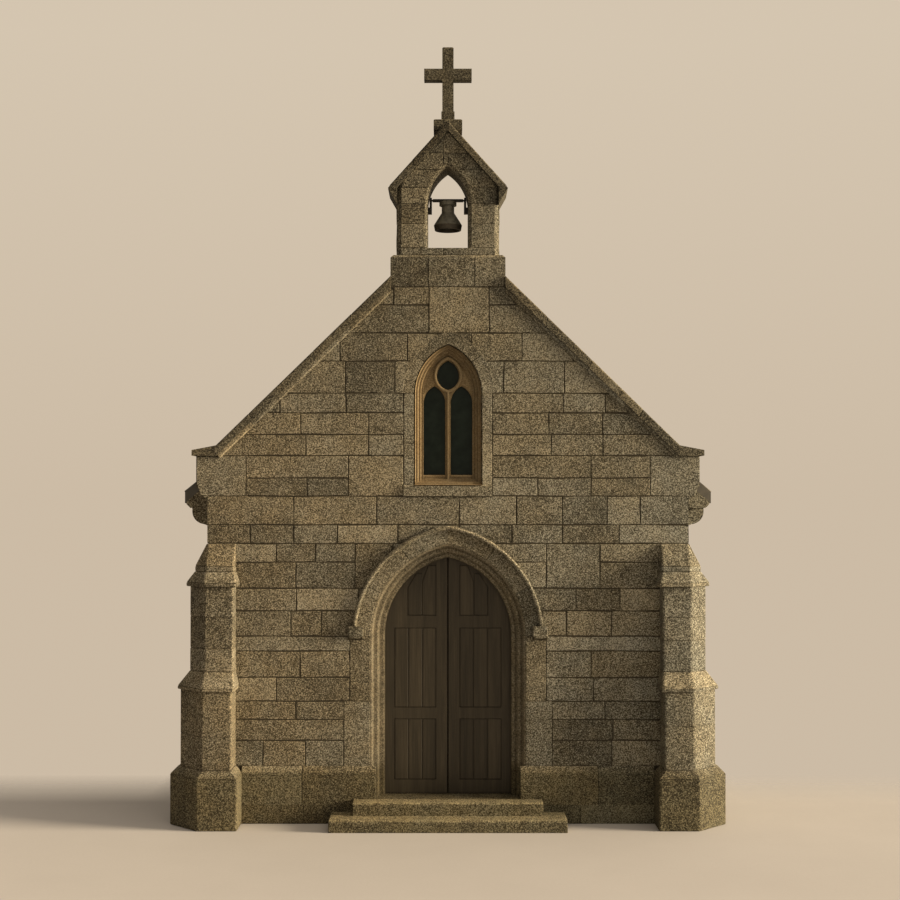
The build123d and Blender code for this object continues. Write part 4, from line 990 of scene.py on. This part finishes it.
copingParts = []
bedParts = []
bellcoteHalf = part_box("bellcote_base")[1].x
for side in (-1, 1):
    for faceY, inward, upper in ((frontY, 1, bellcoteHalf), (rearY, -1, 0)):
        slope = (side, gablePeak, gableSlope, upper, coping["bend"])
        count = round((coping["bend"] - upper) * math.hypot(1, gableSlope) / coping["stone"])
        outer = faceY - inward * coping["overhang"]
        inner = faceY + inward * (coping["wall"] + coping["overhang"])
        outline = capOutline(*sorted((outer, inner)), coping["thick"])
        copingParts.append(slopeCoping(*slope, outline, count, coping["arris"]))
        nose = faceY - inward * coping["bedOut"]
        outline = [(nose, 0), (nose, -coping["bed"]), (faceY, -coping["bed"] * coping["bedFoot"])][::inward]
        bedParts.append(slopeCoping(*slope, outline, count, coping["bedArris"]))
makePiece("copingStones", copingParts, weatheredStone)
makePiece("copingBeds", bedParts, dressedStone)

bellcote = {
    "half": 0.642, "arris": 0.045, "inset": 0.03, "opening": 0.288, "offset": 0.3145, "springing": 7.78,
    "baseRise": 0.405, "weathering": 0.03, "flankFoot": 0.09, "baseStones": 3,
    "courses": (7.52, 7.98, 8.21, 8.42), "shift": 0.06, "leastStone": 0.03,
    "capThick": 0.075, "capOverhang": 0.05, "capReach": 0.68, "capStones": 2,
    "cut": {**ashlar, "proud": 0.008, "joint": 0.005, "bevel": 0.006, "wander": 0.002},
}
bodyFoot = bellcoteFoot + bellcote["baseRise"]
baseTop = bodyFoot - bellcote["weathering"]
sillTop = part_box("bellcote_piers")[0].z
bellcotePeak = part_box("bellcote_head")[1].z
wallHalf = coping["wall"] / 2
bellcoteMiddle = frontY + wallHalf
bodyHalfDepth = wallHalf - bellcote["inset"]


def bellcoteEdge(v):  # half width of the bellcote's face at height v
    return np.minimum(bellcote["half"] - bellcote["arris"], (bellcotePeak - v) / bellcoteSlope)


bellParts = []
bellLines = np.sort([bodyFoot, sillTop, bellcote["springing"], *bellcote["courses"], bellcotePeak])
bellOpening = opening(0, sillTop, bellcote["opening"], bellcote["springing"], bellcote["offset"])
for look in (-1, 1):
    cut = bellcote["cut"]
    half = bellcote["half"]
    baseWall = face((0, bellcoteMiddle + look * wallHalf, 0), (-look, 0, 0))
    joints = splitRun(-bellcoteHalf, bellcoteHalf, bellcote["baseStones"], stoneRng)
    base = np.array([(a, b, bellcoteFoot, baseTop) for a, b in pairs(joints)])
    bellParts.append(stonePatches(baseWall, base, cut, stoneRng, flush=endFlush(base, bellcoteHalf)))
    bodyWall = face((0, bellcoteMiddle + look * bodyHalfDepth, 0), (-look, 0, 0))
    joints = (-half, bellcote["shift"] * look, half)
    body = np.array([(a, b, low, high) for low, high in pairs(bellLines) for a, b in pairs(joints)])
    body, bounds = cutRound(body, [bellOpening], bellcoteEdge, bellcote["leastStone"])
    bellParts.append(stonePatches(bodyWall, body, cut, stoneRng, bounds))
    sideBase = face((look * bellcoteHalf, bellcoteMiddle, 0), (0, look, 0))
    flank = np.array([(-wallHalf, wallHalf, bellcoteFoot + bellcote["flankFoot"], baseTop)])
    bellParts.append(stonePatches(sideBase, flank, cut, stoneRng, flush=endFlush(flank, wallHalf)))
    sideBody = face((look * half, bellcoteMiddle, 0), (0, look, 0))
    reach = bodyHalfDepth - bellcote["arris"]
    flank = [(-reach, reach, low, high) for low, high in pairs(bellLines[:4])]
    bellParts.append(stonePatches(sideBody, flank, cut, stoneRng))
makePiece("bellcoteStones", bellParts, wallStone)
capParts = []
capDepth = bodyHalfDepth + bellcote["capOverhang"]
outline = capOutline(bellcoteMiddle - capDepth, bellcoteMiddle + capDepth, bellcote["capThick"])
for side in (-1, 1):
    slope = (side, bellcotePeak, bellcoteSlope, 0, bellcote["capReach"])
    capParts.append(slopeCoping(*slope, outline, bellcote["capStones"], coping["arris"]))
makePiece("bellcoteCaps", capParts, weatheredStone)

labelStop = {"width": 0.18, "height": 0.148, "eased": 0.010, "drip": 0.012, "neck": 0.032, "neckOut": 0.016,
             "dirt": 0.9, "cut": {"joint": 0.0, "bevel": 0.008, "proud": 0.004, "rough": 0.0}, "seed": 3}
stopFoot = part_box("hood_mould")[0].z
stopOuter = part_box("hood_mould")[1].x
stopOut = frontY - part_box("hood_mould")[0].y
stopRng = np.random.default_rng(labelStop["seed"])


def stopPlan(z, out, side):  # round a label stop, from the wall out over its face and back
    inner = stopOuter - labelStop["width"]
    plan = [(inner, 0), (inner, -out), (stopOuter, -out), (stopOuter, 0)]
    return upright(plan, z, labelStop["eased"], np.array([0, frontY]), (side, 1))


stopParts = []
for side in (-1, 1):
    top, _ = stopPlan(stopFoot + labelStop["height"], stopOut, side)
    foot, outward = stopPlan(stopFoot + labelStop["drip"], stopOut, side)
    stopParts.append(carriedStones(foot, top, outward, [0, 1], labelStop["cut"], stopRng))
    # the neck under each stop, almost all edge colour: painted shadow under the stop
    neck, _ = stopPlan(stopFoot - labelStop["neck"], labelStop["neckOut"], side)
    *under, edge = carriedStones(neck, foot, outward, [0, 1], labelStop["cut"], stopRng)
    stopParts.append((*under, np.full(len(edge), labelStop["dirt"])))
makePiece("labelStops", stopParts, dressedStone)

slating = {"gauge": 0.205, "lap": 0.05, "width": 0.27, "thick": 0.009, "underRidge": 0.02, "gap": 0.004,
           "least": 0.03, "sideways": 0.01, "uneven": 0.006, "lift": 0.004, "bedding": 0.0008, "seed": 5}
# edge: a dark tail line, and painted shadow growing towards the head under the next row's tail
slateShares = {"across": (0, 0.006, 0.994, 1), "riseAcross": (0, 1, 1, 0), "down": (0, 0.008, 0.5, 1),
               "riseDown": (0, 1, 0.55, 0.1), "edge": (0.5, 0, 0.1, 1)}


def slateRows(side):  # each slate is a small grid: lifted at its tail, tucked in at its head
    rng = np.random.default_rng(slating["seed"] + side)
    shares = {name: np.array(values) for name, values in slateShares.items()}
    low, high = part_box("roof_right")
    edgeX = high.x
    slopeLength = (edgeX - ridgeHalf + slating["underRidge"]) * math.hypot(1, roofSlope)
    length = high.y - low.y
    rows = int(slopeLength / slating["gauge"])
    columns = np.arange(-1, int(length / slating["width"]) + 1)
    row, column = [grid.ravel() for grid in np.meshgrid(np.arange(rows), columns, indexing="ij")]
    shift = rng.uniform(0, 1, rows)[row]
    sideways = rng.uniform(-slating["sideways"], slating["sideways"], len(row))
    left = (column + shift) * slating["width"] + sideways - length / 2
    right = np.clip(left + slating["width"] - slating["gap"], -length / 2, length / 2)
    left = np.clip(left, -length / 2, length / 2)
    kept = right - left > slating["least"]
    row = row[kept]
    left = left[kept, None]
    right = right[kept, None]
    tail = row * slating["gauge"] + rng.uniform(-slating["uneven"], slating["uneven"], len(row))
    across = left + (right - left) * shares["across"]
    down = tail[:, None] + (slating["gauge"] + slating["lap"]) * shares["down"]
    lift = slating["thick"] + rng.uniform(0, slating["lift"], len(row))
    height = lift[:, None, None] * shares["riseDown"][:, None] * shares["riseAcross"]
    pitch = np.array([-side, 0, roofSlope]) / math.hypot(1, roofSlope)
    roof = face((side * edgeX, middleY, roofPeak - edgeX * roofSlope), (0, side, 0), pitch)
    points = placed(roof, across[:, None, :], down[:, :, None], slating["bedding"] + height).reshape(-1, 3)
    size = len(shares["edge"])
    tone = np.repeat(np.clip(rng.normal(0, toneSpread["slate"], len(row)), -1, 1), size**2)
    edge = np.tile(np.repeat(shares["edge"], size), len(row))
    return points, gridFaces(len(row), size, size), tone, np.zeros(len(tone)), edge


makePiece("slates", [slateRows(-1), slateRows(1)], slate)

ridgeTile = {"thick": 0.034, "roll": 0.042, "dip": 10, "stone": 0.46, "arris": 0.003,
             "cut": {"joint": 0.003, "bevel": 0.006, "proud": 0.002, "rough": 0.0005}}
low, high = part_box("ridge")
legTop = low.z + ridgeTile["thick"]
rollZ = roofPeak + ridgeTile["thick"]
turns = np.radians(np.linspace(-ridgeTile["dip"], 180 + ridgeTile["dip"], 9))
rollPoints = [(ridgeTile["roll"] * math.cos(a), rollZ + ridgeTile["roll"] * math.sin(a)) for a in turns]
outline = [(ridgeHalf, low.z), (ridgeHalf, legTop), *rollPoints, (-ridgeHalf, legTop), (-ridgeHalf, low.z)]
eased, outward = arrised(outline, ridgeTile["arris"])
ends = [np.column_stack([eased[:, 0], np.full(len(eased), y), eased[:, 1]]) for y in (low.y, high.y)]
normals = np.column_stack([outward[:, 0], np.zeros(len(eased)), outward[:, 1]])
joints = np.linspace(0, 1, round((high.y - low.y) / ridgeTile["stone"]) + 1)
ridgeParts = [carriedStones(*ends, normals, joints, ridgeTile["cut"], stoneRng)]
makePiece("ridgeTiles", ridgeParts, dressedStone)

boarding = {"inner": 0.148, "springing": doorway["springing"], "offset": doorway["offset"], "headHalf": 0.780,
            "front": 0.300, "back": 0.340, "seed": 41,
            "panels": [(0.479, 1.254, 0.682, 3), (1.395, 2.410, 0.682, 3), (2.563, 3.28, 0.515, 2)],
            "cut": {"joint": 0.005, "bevel": 0.010, "proud": 0.007, "rough": 0.0004, "tilt": 0.0006}}
boardRng = np.random.default_rng(boarding["seed"])


def headEdge(v):  # half width of the leaves' arched head at height v
    return archHalf(v, boarding["headHalf"], boarding["springing"], boarding["offset"])


for side, body in ((-1, "left_door"), (1, "right_door")):
    parts = []
    for look, depth in ((-1, boarding["front"]), (1, boarding["back"])):
        leaf = face((0, frontY + depth, 0), (-look, 0, 0))
        boards = []
        for low, high, outer, number in boarding["panels"]:
            joints = np.linspace(boarding["inner"], outer, number + 1)
            boards += [(*sorted((-look * side * a, -look * side * b)), low, high) for a, b in pairs(joints)]
        boards, bounds = cutRound(np.array(boards), [], headEdge)
        parts.append(stonePatches(leaf, boards, boarding["cut"], boardRng, bounds))
    makePiece(body.split("_")[0] + "DoorBoards", parts, oak, body)

paving = {"row": 0.62, "flag": (0.55, 0.95), "seed": 17,
          "cut": {"joint": 0.006, "bevel": 0.006, "proud": 0.004, "rough": 0.001, "tilt": 0.001}}
pavingRng = np.random.default_rng(paving["seed"])
floorFace = face((0, 0, floorTop), (1, 0, 0), (0, 1, 0))
flags = []
rowCount = round((innerRear - innerFront) / paving["row"])
for low, high in pairs(np.linspace(innerFront, innerRear, rowCount + 1)):
    count = round(2 * innerHalf / pavingRng.uniform(*paving["flag"]))
    flags += [(a, b, low, high) for a, b in pairs(splitRun(-innerHalf, innerHalf, count, pavingRng))]
makePiece("floorFlags", [stonePatches(floorFace, flags, paving["cut"], pavingRng)], dressedStone)

stageLook = {"radius": 70, "rings": 25, "spokes": 65, "crowd": 1.5, "below": 0.002, "fadeFrom": 12,
             "fadeRun": 28, "behindFrom": 1.2, "behindRun": 1.9, "besideFrom": 0.4, "besideRun": 0.7,
             "sand": ((0.585, 0.562, 0.555), (0.635, 0.612, 0.605))}
rings = np.linspace(0, 1, stageLook["rings"])[:, None] ** stageLook["crowd"] * stageLook["radius"]
angles = np.linspace(0, 2 * math.pi, stageLook["spokes"])
ground = face((0, 0, -stageLook["below"]), (1, 0, 0), (0, 1, 0))
floorPoints = placed(ground, rings * np.cos(angles), rings * np.sin(angles), 0).reshape(-1, 3)
floorQuads = gridFaces(1, stageLook["rings"], stageLook["spokes"])[:, ::-1]
floorMesh = bpy.data.meshes.new("studioFloor")
floorMesh.from_pydata(floorPoints.tolist(), [], floorQuads.tolist())
studioFloor = bpy.data.objects.new("studioFloor", floorMesh)
bpy.context.scene.collection.objects.link(studioFloor)
sand, sandShader, sandPlace = newFinish("studioSand", Roughness=0.95, Specular_IOR_Level=0.1)
drift = noise(sandPlace, 0.7, 5, 0.6) * 0.5 + noise(sandPlace, 30, 4, 0.7) * 0.5
feed(sandShader, "Base Color", ramp(drift, (0.3, 0.7), stageLook["sand"]))
distance = sandPlace.node("ShaderNodeVectorMath", {"operation": "LENGTH"}, {0: sandPlace}, "Value")
away = over(distance, stageLook["fadeFrom"], stageLook["fadeRun"])
sandY = axisOf(sandPlace, "Y")
past = over(sandY - frontY, stageLook["behindFrom"], stageLook["behindRun"])
offSide = abs(axisOf(sandPlace, "X")) - halfWidth
offWall = offSide.math("MAXIMUM", offSide, abs(sandY - middleY) - halfLength)  # metres outside the walls
beside = over(offWall, stageLook["besideFrom"], stageLook["besideRun"])
away = away.math("MAXIMUM", away, past * beside)  # behind the front the floor goes over to the backdrop
clear = away.node("ShaderNodeBsdfTransparent", {}, {})
solid = Wire(sand.node_tree, sandShader.outputs[0])
mixed = away.node("ShaderNodeMixShader", {}, {0: away, 1: solid, 2: clear})
feed(sand.node_tree.nodes["Material Output"], "Surface", mixed)
floorMesh.materials.append(sand)

lighting = {"skyHigh": (0.66, 0.56, 0.434), "skyLow": (0.605, 0.50, 0.380), "skyRun": 0.3, "ambient": 0.80,
            "rightward": 0.65, "sun": 8.8, "sunColour": (1.0, 0.815, 0.56), "sunFrom": (1.0, -0.17, 0.19),
            "sunSoft": 20.0, "sunAway": 20}
world = bpy.data.worlds.new("studioBackdrop")
world.use_nodes = True
bpy.context.scene.world = world
worldTree = world.node_tree  # the backdrop as seen, and a light from it that is stronger from the right
seen = Wire(worldTree, worldTree.nodes.new("ShaderNodeLightPath").outputs["Is Camera Ray"])
skyward = Wire(worldTree, worldTree.nodes.new("ShaderNodeTexCoord").outputs["Generated"])
lifted = over(axisOf(skyward, "Z"), 0, lighting["skyRun"])
backdrop = blend(lifted, lighting["skyLow"], lighting["skyHigh"])
strength = lighting["ambient"] * (1 + axisOf(skyward, "X") * lighting["rightward"])
around = seen.node("ShaderNodeBackground", {}, {0: backdrop, 1: strength})
behind = seen.node("ShaderNodeBackground", {}, {0: backdrop, 1: 1.0})
mixed = seen.node("ShaderNodeMixShader", {}, {0: seen, 1: around, 2: behind})
feed(worldTree.nodes["World Output"], "Surface", mixed)

sunLamp = bpy.data.lights.new("lateSun", "SUN")
sunLamp.energy = lighting["sun"]
sunLamp.color = lighting["sunColour"]
sunLamp.angle = math.radians(lighting["sunSoft"])
sun = bpy.data.objects.new("lateSun", sunLamp)
sunX, sunY, sunZ = [lighting["sunAway"] * share for share in lighting["sunFrom"]]
sun.location = (sunX, sunY, sunZ)
sunTurn = math.atan2(-sunY, -sunX) - math.pi / 2
sun.rotation_euler = (math.atan2(math.hypot(sunX, sunY), sunZ), 0, sunTurn)  # towards the origin
bpy.context.scene.collection.objects.link(sun)

viewing = {"distance": 18.0, "eye": 4.06, "tilt": 0.85, "lens": 57.28, "sensor": 36, "shiftX": 0.0023,
           "shiftY": 0.03}
camera = bpy.data.objects.new("camera", bpy.data.cameras.new("camera"))
bpy.context.scene.collection.objects.link(camera)
camera.location = (0, frontY - viewing["distance"], viewing["eye"])
camera.rotation_euler = (math.radians(90 + viewing["tilt"]), 0, 0)
camera.data.lens = viewing["lens"]
camera.data.sensor_width = viewing["sensor"]
camera.data.shift_x = viewing["shiftX"]
camera.data.shift_y = viewing["shiftY"]
bpy.context.scene.camera = camera
bpy.context.scene.view_settings.view_transform = "Standard"
print("stage, light and camera set")
